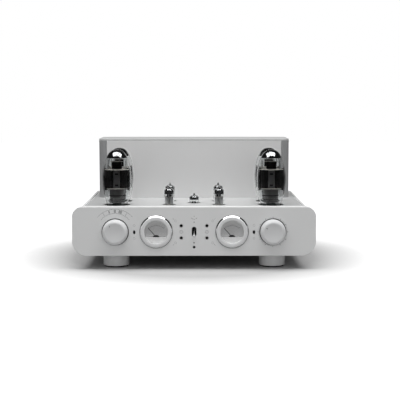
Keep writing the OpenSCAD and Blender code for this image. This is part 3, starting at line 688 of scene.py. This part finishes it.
# %% Recess floors and socket rings
def recess_floor(node, recess):
    """The ring behind one recess, from the recess's depth to the plate's back. Its near black is painted
    shade.
    """
    outer, bore, depth = recess["radius"] - 0.02, recess["bore"], recess["depth"]
    section = [(bore, -plate_t), (outer, -plate_t), (outer, -depth), (bore, -depth)]
    return turned_part(section, place_of(node), "front", 128)


floors = [recess_floor(node, recess) for node, recess in recesses.items()]
# The floors are near black: painted shade in the recesses.
dress(make_piece("recess_floors", *joined(floors)), recess_painted_shade, "chassis", "satin_aluminium")
nose = [(3.25, -0.38), (4.06, -0.38), (4.06, -0.02), (3.3, -0.02)]
noses = [turned_part(nose, (s * jack_x * mm, front_y, control_z + k * jack_z * mm), "front", 40)
         for s in (-1, 1) for k in (-1, 1)]
dress(make_piece("jack_rings", *joined(noses)), satin, "chassis", "satin_aluminium")
print(len(floors), "recess floors and", len(noses), "socket rings")

# %% [markdown]
# ## Marks on the faceplate
# The marks are engraved and filled with grey, so that they hardly show: a double arc with five
# positions round the selector, a ring with twelve ticks round the volume knob, small rings and
# strokes beside the switches and sockets. Each is a line with a real, tiny thickness, sunk into the
# face. A position is told apart by its number of bars, one to five.

# %% Marks
marks_dark, marks_faint = [], []
origin = (0, front_y, plate_mid_z)
selector_at = np.array(on_plate("selector_knob"))
volume_at = np.array(on_plate("volume_knob"))


def ring(store, x, z, r, width=0.35, steps=40):
    """A circle drawn as a closed line."""
    store.append(line_part(circle(x, z, r, steps), width, origin, "front", closed=True))


def stroke(store, points, width=0.35):
    """An open line through points about the faceplate's middle."""
    store.append(line_part(points, width, origin, "front"))


def radial(angle, near, far, about):
    """A straight stroke away from a point, at degrees clockwise from straight up."""
    t = math.radians(angle)
    return np.array([[near], [far]]) * [[math.sin(t), math.cos(t)]] + about


def selector_marks():
    """Two arcs, and between them five positions as groups of bars."""
    for r in (40.4, 49.7):
        stroke(marks_dark, arc(r, -50, 49, 64) + selector_at, 0.42)
    for angle, bars in ((-33, 1), (-16.5, 2), (-0.5, 3), (14.5, 5), (32, 1)):
        for k in range(bars):
            spread = (k - (bars - 1) / 2) * 1.9
            stroke(marks_dark, radial(angle + spread, 41.6, 48.5, selector_at), 0.55 if bars == 1 else 0.8)


def volume_marks():
    """Twelve ticks on a thin ring."""
    for angle in range(0, 360, 30):
        stroke(marks_dark, radial(angle, 31.0, 33.2, volume_at), 0.9)
    ring(marks_faint, *volume_at, 31.2, 0.3, 96)


def switch_marks():
    """Rings above and below each toggle, and between and outside each pair of sockets."""
    toggle_x = abs(on_plate("toggle_left")[0])
    for s in (-1, 1):
        for k in (-1, 1):
            ring(marks_faint, s * toggle_x, -line_drop + k * 14, 2.2)
            ring(marks_faint, s * 40.4, -line_drop + k * 24, 2.2)
            ends = [[s * 43.5, k * 27 - line_drop], [s * 46.0, k * 29.5 - line_drop]]
            stroke(marks_faint, np.array(ends), 0.6)
        ring(marks_faint, s * jack_x, -line_drop, 2.4)
        ring(marks_faint, s * jack_x, -line_drop, 3.6)


def lever_marks():
    """A small roof with a dot over it above the slot, and a spot just over the slot."""
    stroke(marks_dark, np.array([[-7.0, 29.6], [0.0, 26.0], [7.0, 29.6]]), 0.5)
    marks_dark.append(disc_part(0, 33.4, 0.7, origin, "front"))
    marks_faint.append(disc_part(0, 20.2, 1.2, origin, "front"))


selector_marks()
volume_marks()
switch_marks()
lever_marks()
dress(make_piece("dark_marks", *joined(marks_dark)), engraving, "chassis", "black_plastic")
dress(make_piece("faint_marks", *joined(marks_faint)), faint_engraving, "chassis", "black_plastic")
print(len(marks_dark), "dark marks and", len(marks_faint), "faint ones")

# %% [markdown]
# ## Deck and cover
# The deck is a flat sheet between the side panels, with a dark groove along each of them. Its nine
# holes are punched and have a soft edge.

# %% Deck
deck_w = (deck_high.x - deck_low.x) / mm
deck_d = (deck_high.y - deck_low.y) / mm
deck_t = (deck_high.z - deck_low.z) / mm
deck_mid = (deck_low + deck_high) / 2
valve_names = ["front_left", "front_right", "back_left", "back_right"]
power_centres = [middle("power_valve_glass_" + n) for n in valve_names]
small_centres = [middle("small_valve_glass_" + n) for n in valve_names + ["middle"]]


def deck_hole(centre, r, steps):
    """A hole in the deck about a valve's axis."""
    return circle((centre.x - deck_mid.x) / mm, (centre.y - deck_mid.y) / mm, r, steps)


deck_holes = [deck_hole(c, 28.8, 80) for c in power_centres] + [deck_hole(c, 14.8, 56) for c in small_centres]
deck_groove = 1.5
deck = plate("deck_sheet", box_outline(0, 0, deck_w - 2 * deck_groove, deck_d, 0.5), deck_holes, deck_t, 0.5,
             (deck_mid.x, deck_mid.y, deck_low.z), "up", steps=3)
dress(deck, deck_satin_painted_shade, "chassis", "deck_aluminium", "top_deck")
print("deck with", len(deck_holes), "holes")

# %% [markdown]
# The cover behind the deck holds the transformers. It is four flat panels between four round-cornered
# posts, closed by a thick top plate. The rear panel has a row of upright vents under the top plate.

# %% Cover panels
PANEL_EDGE = 0.4


def panel(name, node, facing, holes=()):
    """A flat panel as large as a node's box, facing outwards from the cover."""
    low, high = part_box(node)
    size, centre = (high - low) / mm, (low + high) / 2
    across, back = {"front": (size.x, high.y), "rear": (size.x, low.y)}[facing]
    return plate(name, box_outline(0, 0, across, size.z, 0.3), list(holes), size.y, PANEL_EDGE,
                 (centre.x, back, centre.z), facing, steps=3)


def side_walls():
    """Both side panels as one piece, each as thick as the front panel."""
    low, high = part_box("cover_sides")
    front_low, front_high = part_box("cover_front")
    wall = front_high.y - front_low.y
    size, centre = (high - low) / mm, (low + high) / 2
    outline = box_outline(0, 0, size.y, size.z, 0.3)
    sides = (low.x + wall, "left"), (high.x - wall, "right")
    walls = [plate_part(outline, [], wall / mm, PANEL_EDGE, (x, centre.y, centre.z), facing, steps=3)
             for x, facing in sides]
    return even_normals(make_piece("cover_side_panels", *joined(walls)))


VENTS, VENT_PITCH, VENT_DROP = 14, 20, 15
vent_z = (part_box("cover_rear")[1].z - middle("cover_rear").z) / mm - VENT_DROP
vents = [slot_outline((i - (VENTS - 1) / 2) * VENT_PITCH, vent_z, 5, 22) for i in range(VENTS)]
front_panel = panel("cover_front_panel", "cover_front", "front")
rear_panel = panel("cover_rear_panel", "cover_rear", "rear", vents)
dress(front_panel, cover_satin_painted_light, "chassis", "satin_aluminium", "cover_front")
dress(rear_panel, satin, "chassis", "satin_aluminium", "cover_rear")
dress(side_walls(), satin, "chassis", "satin_aluminium", "cover_sides")
print("cover panels with", len(vents), "vents")


# %% Cover posts
def cover_posts():
    """A quarter round at each corner of the cover. Its radius fills the space beside the panel."""
    low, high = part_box("cover_corner_posts")
    r = (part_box("cover_front")[0].x - low.x) / mm - 0.5
    quarter = fillet([(0, 0), (r, 0), (r, r), (0, r)], [0.3, 0.3, r - 0.5, 0.3], 14)
    height = (high.z - low.z) / mm
    posts = []
    for sx, x in ((-1, low.x), (1, high.x)):
        for sy, y in ((-1, low.y), (1, high.y)):
            corner = (x - sx * r * mm, y - sy * r * mm, low.z)
            posts.append(plate_part(quarter * (sx, sy), [], height, 0.2, corner, "up", steps=2))
    return even_normals(make_piece("cover_posts", *joined(posts)))


dress(cover_posts(), post_satin_painted_shade, "chassis", "satin_aluminium", "cover_corner_posts")
print("four posts")

# %% Cover top
lid_low, lid_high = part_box("cover_top")
lid_mid = (lid_low + lid_high) / 2
lid_size = (lid_high - lid_low) / mm
lid = plate("cover_lid", box_outline(0, 0, lid_size.x, lid_size.y, 18), [], lid_size.z, 1.0,
            (lid_mid.x, lid_mid.y, lid_low.z), "up")
dress(lid, deck_satin_painted_shade, "chassis", "satin_aluminium", "cover_top")
print("cover top at", round(lid_high.z, 4))

# %% [markdown]
# ## Feet
# Each foot is turned from bar: a straight cylinder with a small rounding at both ends, standing on a
# rubber pad.

# %% Feet
foot_low, foot_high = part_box("feet")
foot_r = 28.5
foot_h = (foot_high.z - foot_low.z) / mm
foot_profile = fillet([(0, 0), (foot_r, 0), (foot_r, foot_h), (0, foot_h)], [0, 1.2, 1.2, 0], 5)
feet = []
for x in (foot_low.x + foot_r * mm, foot_high.x - foot_r * mm):
    for y in (foot_low.y + foot_r * mm, foot_high.y - foot_r * mm):
        feet.append(turned_part(foot_profile, (x, y, foot_low.z), "up", 96))
dress(make_piece("turned_feet", *joined(feet)), satin, "chassis", "satin_aluminium", "feet")
print(len(feet), "feet")

# %% [markdown]
# ## Knobs
# A knob is a skirt, an elliptical shoulder and a flat face that is very slightly dished. It starts
# inside its recess, without touching the recess's floor. A dark dot shows where the selector points,
# and a short dark line where the volume knob does.

# %% Knobs
def knob(name, node, body, pointer, near, far):
    """A turned knob over a node's box. Its pointer lies at an angle clockwise from the top: a dot at
    the nearer radius, and a line out to the farther one."""
    low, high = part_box(node)
    r = (high.x - low.x) / 2 / mm
    out = (front_y - low.y) / mm
    centre = place_of(node)
    start_depth, skirt, face_r = 1.7, out * 0.42, 20.5
    t = np.linspace(0, math.pi / 2, 17)
    shoulder = np.stack([face_r + (r - face_r) * np.cos(t), skirt + (out - skirt) * np.sin(t)], 1)
    dish = np.array([[face_r - 1.2, out], [face_r - 1.8, out - 0.25], [0, out - 0.25]])
    start = fillet([(0, -start_depth), (r, -start_depth), (r, skirt)], [0, 0.8, 0], 4)
    profile = np.concatenate([start, shoulder[1:], dish])
    piece = turned(name, profile, centre, "front", 160)
    dress(piece, knob_satin_painted_shade, body, "knob_aluminium", node)
    a = math.radians(pointer)
    ahead = np.array([math.sin(a), math.cos(a)])
    on_face = (centre.x, low.y + 0.25 * mm, centre.z)
    dots = [disc_part(*(ahead * near), 0.9, on_face, "front", lift=0.06)]
    if far > near:
        dots.append(line_part(np.array([ahead * near, ahead * far]), 0.8, on_face, "front", lift=0.05))
    dress(make_piece(name + "_pointer", *joined(dots)), engraving, body, "black_plastic")
    return piece


knob("selector_dial", "selector_knob", "selector", -38, 17.5, 17.5)
knob("volume_dial", "volume_knob", "volume", -56, 16.5, 19.0)
print("knobs made")

# %% [markdown]
# ## Meters
# Each meter's frame is three rings. The outer one is a narrow polished chamfer. It shows the lamp
# above as a white crescent, and the dark room as black arcs on both sides. The broad ring and the
# bevel inside it are satin. Behind the glass lie a grey dial with a fine scale, a lighter cover over
# the movement with a black half-round cap, and the needle, which is the frame's own.

# %% Meter rings
WINDOW_R = 25.2


def meter_ring(side):
    """The bezel in three rings: a polished chamfer, a broad satin ring with a rounded outer shoulder,
    and a narrow bevel down to the glass."""
    node = "meter_bezel_" + side
    low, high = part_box(node)
    r = (high.x - low.x) / 2 / mm
    out = (front_y - low.y) / mm
    back = (high.y - front_y) / mm
    window, centre = WINDOW_R, place_of(node)
    rim, lip, bore = r - 1.8, window + 1.0, meter_recess["bore"] - 0.1
    chamfer = [(rim, -1.5), (r, -1.5), (r, 0.0), (rim, 1.8)]
    edge = turned("meter_rim_" + side, chamfer, centre, "front", 160)
    t = np.linspace(0, math.pi / 2, 13)
    shoulder = np.stack([rim - 3.2 + 3.18 * np.cos(t), 1.9 + (out - 2.0) * np.sin(t)], 1)
    face = np.concatenate([[(lip, -1.4), (rim - 0.02, -1.4)], shoulder, [(lip, out - 0.5)]])
    flat = turned("meter_ring_" + side, face, centre, "front", 160, sharp=40)
    slope = [(window, -back), (bore, -back), (bore, -1.5), (lip - 0.02, -1.5),
             (lip - 0.02, out - 0.6), (window, out - 1.6)]
    bevel = turned("meter_bevel_" + side, slope, centre, "front", 160)
    dress(edge, polished, "chassis", "bright_metal")
    dress(flat, ring_satin_painted_light, "chassis", "bright_metal", node)
    dress(bevel, satin, "chassis", "bright_metal")


# %% Meter dials
CHORD_DROP = 10.8
SCALE_R = 24.5


def dial_scale(hub):
    """The arc of the scale about the needle's hub and eleven ticks, the outer and middle ones longer."""
    lines = [(arc(SCALE_R, -40, 40, 48) + hub, 0.35)]
    for k, angle in enumerate(np.radians(np.linspace(-40, 40, 11))):
        ahead = np.array([math.sin(angle), math.cos(angle)])
        tip = 28.0 if k % 5 == 0 else 26.6
        lines.append((np.array([ahead * SCALE_R, ahead * tip]) + hub, 0.35))
    return lines


def meter_dial(side):
    """Dial plate, scale, lower cover and hub cap of one meter. The cover is the part of the window's
    disc below a chord, and half an ellipse stands on the chord as the cap."""
    centre = middle("meter_bezel_" + side)
    dial_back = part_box("meter_dials")[1].y
    window, card_t, cover_y = WINDOW_R - 0.1, 1.0, front_y + 2.2 * mm
    on_card = (centre.x, dial_back - card_t * mm, centre.z)
    on_cover = (centre.x, cover_y + 0.1 * mm, centre.z)
    card = plate("dial_" + side, circle(0, 0, window, 96), [], card_t, 0.1,
                 (centre.x, dial_back, centre.z), "front")
    t = math.asin(-CHORD_DROP / window)
    a = np.linspace(math.pi - t, 2 * math.pi + t, 49)
    segment = np.stack([window * np.cos(a), window * np.sin(a)], 1)
    cover = plate("movement_cover_" + side, segment, [], 1.2, 0.2, (centre.x, cover_y, centre.z), "front")
    a = np.linspace(0, math.pi, 33)
    half_moon = np.stack([7.0 * np.cos(a), 4.5 * np.sin(a) - CHORD_DROP - 0.6], 1)
    cap = plate("hub_cap_" + side, half_moon, [], 1.4, 0.3, (centre.x, cover_y, centre.z), "front")
    lines = [line_part(path, width, on_card, "front")
             for path, width in dial_scale(np.array([0, -CHORD_DROP - 1]))]
    chord = np.array([[-21.4, 0.25 - CHORD_DROP], [21.4, 0.25 - CHORD_DROP]])
    lines.append(line_part(chord, 0.9, on_cover, "front", lift=0.1))
    dress(card, dial_grey, "chassis", "dial_card")
    dress(cover, cover_grey, "chassis", "dial_card")
    dress(cap, black_plastic, "chassis", "black_plastic")
    dress(make_piece("dial_scale_" + side, *joined(lines)), engraving, "chassis", "black_plastic")
    return card


for side in ("left", "right"):
    meter_ring(side)
    card = meter_dial(side)
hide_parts("meter_dials")
print("meters made")

# %% [markdown]
# ## Power valves
# The bulb is blown in the shape of an egg. Above its widest place it is an ellipse, and below it a
# cosine runs down into the neck that is cemented in the base. The getter's mirror covers the inside
# of the dome, down to a level edge. It stays a fifth of a millimetre away from the glass, because two
# skins made of flat facets would poke through one another if they were any closer.

# %% Bulbs and getters
GLASS_WALL, NECK_R, MIRROR_DEPTH = 1.2, 19.5, 18.5
BELLY_SHARE = 0.47
EGG_STEPS = 64


def egg(r, neck, top, low, belly, steps=EGG_STEPS):
    """Half outline of the bulb from the neck to the tip. Below the widest place the radius is
    neck + (r - neck) cos(quarter turn x share of the way down) ^ 0.8, and above it an ellipse whose
    cosine is raised to 0.82, which makes the shoulders fuller."""
    u = np.linspace(0, 1, steps, endpoint=False)
    lower = np.stack([neck + (r - neck) * np.cos(math.pi / 2 * (1 - u)) ** 0.8, low + u * (belly - low)], 1)
    a = np.linspace(0, math.pi / 2, steps)
    upper = np.stack([r * np.clip(np.cos(a), 0, 1) ** 0.82, belly + (top - belly) * np.sin(a)], 1)
    return np.concatenate([lower, upper])


def bulb_size(place):
    """Radius, height above the deck and lowest point of one power valve's glass."""
    low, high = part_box("power_valve_glass_" + place)
    return (high.x - low.x) / 2 / mm, (high.z - deck_z) / mm, (low.z - deck_z) / mm


def power_bulb(place):
    """Glass shell and getter mirror of one power valve."""
    node = "power_valve_glass_" + place
    base = (middle(node).x, middle(node).y, deck_z)
    r, top, bottom = bulb_size(place)
    belly = top * BELLY_SHARE
    outer = egg(r, NECK_R, top, bottom, belly)
    inner = egg(r - GLASS_WALL, NECK_R - GLASS_WALL, top - GLASS_WALL, bottom, belly)
    glass = turned("bulb_" + place, np.concatenate([outer, inner[::-1]]), base, "up", 128, sharp=60)
    dress(glass, bulb_glass, "chassis", "valve_glass", node)
    faces = []
    for gap in (0.2, 0.5):
        half = egg(r - GLASS_WALL - gap, NECK_R - 1.5, top - GLASS_WALL - gap, bottom, belly)
        faces.append(half[half[:, 1] > top - MIRROR_DEPTH])
    profile = np.concatenate([faces[0], faces[1][::-1]])
    mirror = turned("getter_" + place, profile, base, "up", 128, sharp=60)
    dress(mirror, getter, "chassis", "bright_metal")


for place in valve_names:
    power_bulb(place)
print("four bulbs")


# %% [markdown]
# Inside the bulb hangs the black anode: a block with two flat sides, two wings that follow the glass
# and a pressed rib with small windows in the middle. The wings are partly the anode's fins and partly
# painted shade: they darken the bulb's edges, where bent light darkens real glass. Micas hold it above
# and below. A smaller black box stands on top, and a banded grey shield surrounds the wires between the
# anode and the stem.

# %% Blocks, rods and sleeves
def block_part(x, y, z, w, d, h, where, r=1.0, edge=0.4):
    """A block standing on height z, with rounded uprights and a soft upper edge."""
    base = (where[0], where[1], where[2] + z * mm)
    return plate_part(box_outline(x, y, w, d, r), [], h, edge, base, "up", steps=3)


def rod_part(x, y, z, r, h, where, steps=16):
    """A round rod standing on height z."""
    base = (where[0] + x * mm, where[1] + y * mm, where[2] + z * mm)
    return turned_part([(0, 0), (r, 0), (r, h), (0, h)], base, "up", steps)


def sleeve_part(inner, outer, z, h, where, widening=0.0):
    """A sleeve between two radii, standing on height z, that may widen towards its upper end."""
    section = [(inner, z), (outer, z), (outer + widening, z + h), (inner + widening, z + h)]
    return turned_part(section, where, "up", 64)


def mica_part(r, z, where):
    """A mica disc with soft edges at height z."""
    edge = fillet([(0, 0), (r, 0), (r, 0.8), (0, 0.8)], [0, 0.2, 0.2, 0], 2)
    return turned_part(edge, (where[0], where[1], where[2] + z * mm), "up", 64)


# %% Electrodes of the power valves
def anode_wings_and_edge_shade(place, where):
    """Two upright plates that follow the bulb a millimetre inside its glass: fins, and painted edge shade."""
    r, top, bottom = bulb_size(place)
    curve = egg(r - GLASS_WALL - 1, NECK_R - 2.5, top - 2, bottom, top * BELLY_SHARE, 60)
    curve = curve[(curve[:, 1] > 30) & (curve[:, 1] < 82)]
    right = np.concatenate([curve, [[20, curve[-1, 1] - 3], [20, curve[0, 1] + 3]]])
    left = (right * (-1, 1))[::-1]
    back = (where[0], where[1] + 1 * mm, where[2])
    return [plate_part(loop, [], 2.0, 0.3, back, "front", steps=2) for loop in (left, right)]


def power_electrodes(place, stand_in):
    """Anode, rib, micas, screen box, supports and stem of one power valve."""
    c = middle("power_valve_glass_" + place)
    w = (c.x, c.y, deck_z)
    both = (-1, 1)
    anode = [block_part(s * 14.2, 0, 37, 15, 24, 40, w, 4, 0.8) for s in both]
    anode += [block_part(0, 0, 37, 14, 15, 40, w, 1, 0.5), block_part(0, 0, 79.5, 21, 16, 15, w, 2)]
    anode += anode_wings_and_edge_shade(place, w)
    rib = [block_part(0, s * 10.4, 38, 14.5, 5, 38, w, 1.5, 0.5) for s in both]
    windows = [block_part(0, s * 12.95, z, 7.0, 0.5, 3.4, w, 0.2, 0.05) for s in both for z in (42, 66.5)]
    discs = [mica_part(r, z, w) for r, z in ((27, 77.6), (23, 35.6), (15, 95.2))]
    rods = [rod_part(x, 0, -4, 0.7, 40, w) for x in (-9, 9)]
    rods += [rod_part(x, y, -4, 0.7, 40, w) for y in (5, -5) for x in (-4, 4)]
    rods += [rod_part(s * 19, 0, 33, 0.8, 64, w) for s in both]
    rods += [rod_part(s * 6, 0, 95, 0.6, 6, w) for s in both]
    shield = [sleeve_part(15.2, 15.6, 9, 25, w, 1.2), sleeve_part(14.4, 17.2, 5, 2.5, w)]
    bands = [sleeve_part(16, r, z, 1.5, w) for z, r in ((11, 17.0), (20, 17.3))]
    pieces = {
        "shield_bands_": (bands, anode_black, "anode_black"),
        "shield_": (shield, shield_grey, "electrode_grey"),
        "anode_": (anode, anode_black, "anode_black"), "anode_rib_": (rib, anode_rib, "anode_black"),
        "anode_windows_": (windows, anode_black, "anode_black"), "micas_": (discs, mica, "ceramic"),
        "rods_": (rods, grey_metal, "electrode_grey"),
    }
    for label, (parts, material, slot) in pieces.items():
        dress(make_piece(label + place, *joined(parts)), material, "chassis", slot)
    foot = fillet([(0, -5), (13, -5), (10, 4), (6, 9), (0, 9)], [0, 1, 2, 2, 0], 4)
    stem = turned("stem_" + place, foot, w, "up", 48)
    dress(stem, stem_glass, "chassis", "valve_glass")
    if stand_in:
        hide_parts("power_valve_electrodes")


for place in valve_names:
    power_electrodes(place, place == "front_left")
print("power valves filled")

# %% [markdown]
# ## Small valves
# A small valve is a straight tube of glass with a round shoulder, drawn out to a nipple where the
# air was pumped out. Its getter silvers the shoulder. Two grey anodes stand side by side below it
# between two micas, with a small black screen on top of each.

# %% Small valves
def bottle(r, tip, bottom, wall=0.0):
    """Half outline of the small bulb: straight wall, shoulder as a quarter ellipse, and a nipple
    whose radius falls off as the square of the height."""
    shoulder = tip - 14.0
    a = np.linspace(0, math.pi / 2 * 0.86, 16)
    dome = np.stack([(r - wall) * np.cos(a), shoulder + (6.6 - wall) * np.sin(a)], 1)
    u = np.linspace(0, 1, 14)[1:]
    neck = dome[-1]
    top = tip - wall * 3
    nipple = np.stack([neck[0] * (1 - u) ** 1.6 + (1 - u ** 4) * 1.5 * u, neck[1] + (top - neck[1]) * u], 1)
    return np.concatenate([[(r - wall, bottom)], dome, nipple[:-1], [(0, top)]])


def small_valve(place, mirror_depth, stand_in=False):
    """Glass, getter and electrodes of one small valve."""
    node = "small_valve_glass_" + place
    low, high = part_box(node)
    c = middle(node)
    w = (c.x, c.y, low.z)
    r, tip = (high.x - low.x) / 2 / mm, (high.z - low.z) / mm
    shell = np.concatenate([bottle(r, tip, 0), bottle(r, tip, 0, 0.8)[::-1]])
    dress(turned("tube_" + place, shell, w, "up", 72, sharp=60), bulb_glass, "chassis", "valve_glass", node)
    cut = tip - mirror_depth
    faces = []
    for gap in (0.85, 1.0):
        half = bottle(r, tip, 0, gap)
        faces.append(np.concatenate([[(r - gap, cut)], half[half[:, 1] > cut]]))
    profile = np.concatenate([faces[0], faces[1][::-1]])
    dress(turned("small_getter_" + place, profile, w, "up", 72, sharp=60), getter, "chassis", "bright_metal")
    plates = [block_part(s * 4.3, 0, 6, 7.6, 9, 15, w, 2.6, 0.4) for s in (-1, 1)]
    plates += [rod_part(x, y, 3, 0.5, 25, w, 10) for x, y in ((-8.4, 0), (8.4, 0), (0, 3), (0, -3))]
    discs = [turned_part([(0, z), (9.6, z), (9.6, z + 0.5), (0, z + 0.5)], w, "up", 40) for z in (5, 21.5)]
    tops = [block_part(x, 0, 22.5, 3.4, 5, 4, w, 1, 0.3) for x in (-3.5, 2.5)]
    button = turned_part(fillet([(0, 0.2), (9.8, 0.2), (9.8, 3), (0, 3)], [0, 0.6, 1, 0], 3), w, "up", 48)
    pins = [rod_part(5.95 * math.cos(a), 5.95 * math.sin(a), -6.4, 0.5, 7.5, w, 10)
            for a in np.radians(np.arange(9) * 36)]
    dress(make_piece("small_anodes_" + place, *joined(plates)), small_grey, "chassis", "electrode_grey")
    dress(make_piece("small_screens_" + place, *joined(tops)), anode_black, "chassis", "anode_black")
    dress(make_piece("small_micas_" + place, *joined(discs)), mica, "chassis", "ceramic")
    dress(make_piece("button_" + place, *button), stem_glass, "chassis", "valve_glass")
    piece = dress(make_piece("pins_" + place, *joined(pins)), steel, "chassis", "plain_steel")
    if stand_in:
        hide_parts("small_valve_electrodes")


for place in valve_names:
    small_valve(place, 21)
small_valve("middle", 18, True)
print("five small valves")

# %% [markdown]
# ## Floor and light
# The set is a white floor under one large soft box, which hangs above the amplifier and a little in
# front of it. Its reflection is the white spot on each silvered dome and the white crescent over each
# meter. The floor glows a little with distance for the camera alone, so that it runs into the
# background, and it is darker in mirrored rays, so that it lays no veil over the glass.

# %% Floor
def floor_material():
    """White paper: 0.5 bright, 0.15 in mirrored rays, with a glow that grows with the distance."""
    material = bpy.data.materials.new("white_sweep")
    material.use_nodes = True
    tree = material.node_tree
    shader = tree.nodes["Principled BSDF"]
    shader.inputs["Roughness"].default_value = 0.9
    place = tree.nodes.new("ShaderNodeTexCoord")
    length = tree.nodes.new("ShaderNodeVectorMath")
    length.operation = "LENGTH"
    tree.links.new(place.outputs["Object"], length.inputs[0])
    glow = tree.nodes.new("ShaderNodeMapRange")
    for label, value in {"From Min": 0.28, "From Max": 0.55, "To Min": 0.0, "To Max": 1.0}.items():
        glow.inputs[label].default_value = value
    tree.links.new(length.outputs["Value"], glow.inputs["Value"])
    shader.inputs["Emission Color"].default_value = (1, 1, 1, 1)
    rays = tree.nodes.new("ShaderNodeLightPath")
    paper = maths(tree, "MULTIPLY_ADD", rays.outputs["Is Glossy Ray"], -0.35, 0.5)
    tree.links.new(paper, shader.inputs["Base Color"])
    seen = maths(tree, "MULTIPLY", glow.outputs["Result"], rays.outputs["Is Camera Ray"])
    tree.links.new(seen, shader.inputs["Emission Strength"])
    return material


floor_rim = np.column_stack([circle(0, 0, 6, 96), np.zeros(96)])
floor_mesh = bpy.data.meshes.new("floor")
floor_mesh.from_pydata(floor_rim.tolist(), [], [list(range(len(floor_rim)))])
floor = bpy.data.objects.new("floor", floor_mesh)
floor.data.materials.append(floor_material())
bpy.context.scene.collection.objects.link(floor)
print("floor ready")


# %% Light
def soft_box(name, location, target, size, watts):
    """A rectangular lamp that faces a point."""
    data = bpy.data.lights.new(name, "AREA")
    data.shape = "RECTANGLE"
    data.size, data.size_y = size
    data.energy = watts
    lamp = bpy.data.objects.new(name, data)
    lamp.location = location
    lamp.rotation_euler = (Vector(target) - Vector(location)).to_track_quat("-Z", "Y").to_euler()
    bpy.context.scene.collection.objects.link(lamp)
    return lamp


soft_box("top_light", (0, -0.35, 1.6), (0, -0.35, 0.1), (2.1, 1.1), 31)
print("soft box hung")

# %% [markdown]
# The world gives three answers, by the kind of ray that asks. The camera sees plain white. A ray that
# a matt surface scattered sees a pale fill, three times brighter in front than behind. Every other
# ray sees a dim room with a pale band at the horizon, so that polished rings, getters and glass keep
# dark reflections.

# %% World
world = bpy.data.worlds.new("studio")
world.use_nodes = True
tree = world.node_tree
dim = tree.nodes["Background"]
place = tree.nodes.new("ShaderNodeTexCoord")
parts = tree.nodes.new("ShaderNodeSeparateXYZ")
tree.links.new(place.outputs["Generated"], parts.inputs[0])
rays = tree.nodes.new("ShaderNodeLightPath")


def span(value, low, high, start, end):
    """A smooth ramp of a value between two limits."""
    node = tree.nodes.new("ShaderNodeMapRange")
    node.interpolation_type = "SMOOTHSTEP"
    for label, number in {"From Min": low, "From Max": high, "To Min": start, "To Max": end}.items():
        node.inputs[label].default_value = number
    tree.links.new(value, node.inputs["Value"])
    return node.outputs["Result"]


horizon = span(parts.outputs["Z"], 0.14, 0.26, 0.2, 0.02)
away = span(parts.outputs["Y"], -0.85, -0.45, 0.5, 1.0)
fill = span(parts.outputs["Y"], -0.9, 0.3, 0.65, 0.2)
mirrored = maths(tree, "MULTIPLY", horizon, away)
scattered = maths(tree, "MULTIPLY", rays.outputs["Is Diffuse Ray"], fill)
other = maths(tree, "SUBTRACT", 1.0, rays.outputs["Is Diffuse Ray"])
tree.links.new(maths(tree, "MULTIPLY_ADD", mirrored, other, scattered), dim.inputs["Color"])
white = tree.nodes.new("ShaderNodeBackground")
white.inputs["Color"].default_value = (1, 1, 1, 1)
mix = tree.nodes.new("ShaderNodeMixShader")
tree.links.new(rays.outputs["Is Camera Ray"], mix.inputs["Fac"])
tree.links.new(dim.outputs["Background"], mix.inputs[1])
tree.links.new(white.outputs["Background"], mix.inputs[2])
tree.links.new(mix.outputs["Shader"], tree.nodes["World Output"].inputs["Surface"])
bpy.context.scene.world = world
bpy.context.scene.view_settings.view_transform = "Standard"
print("world ready")
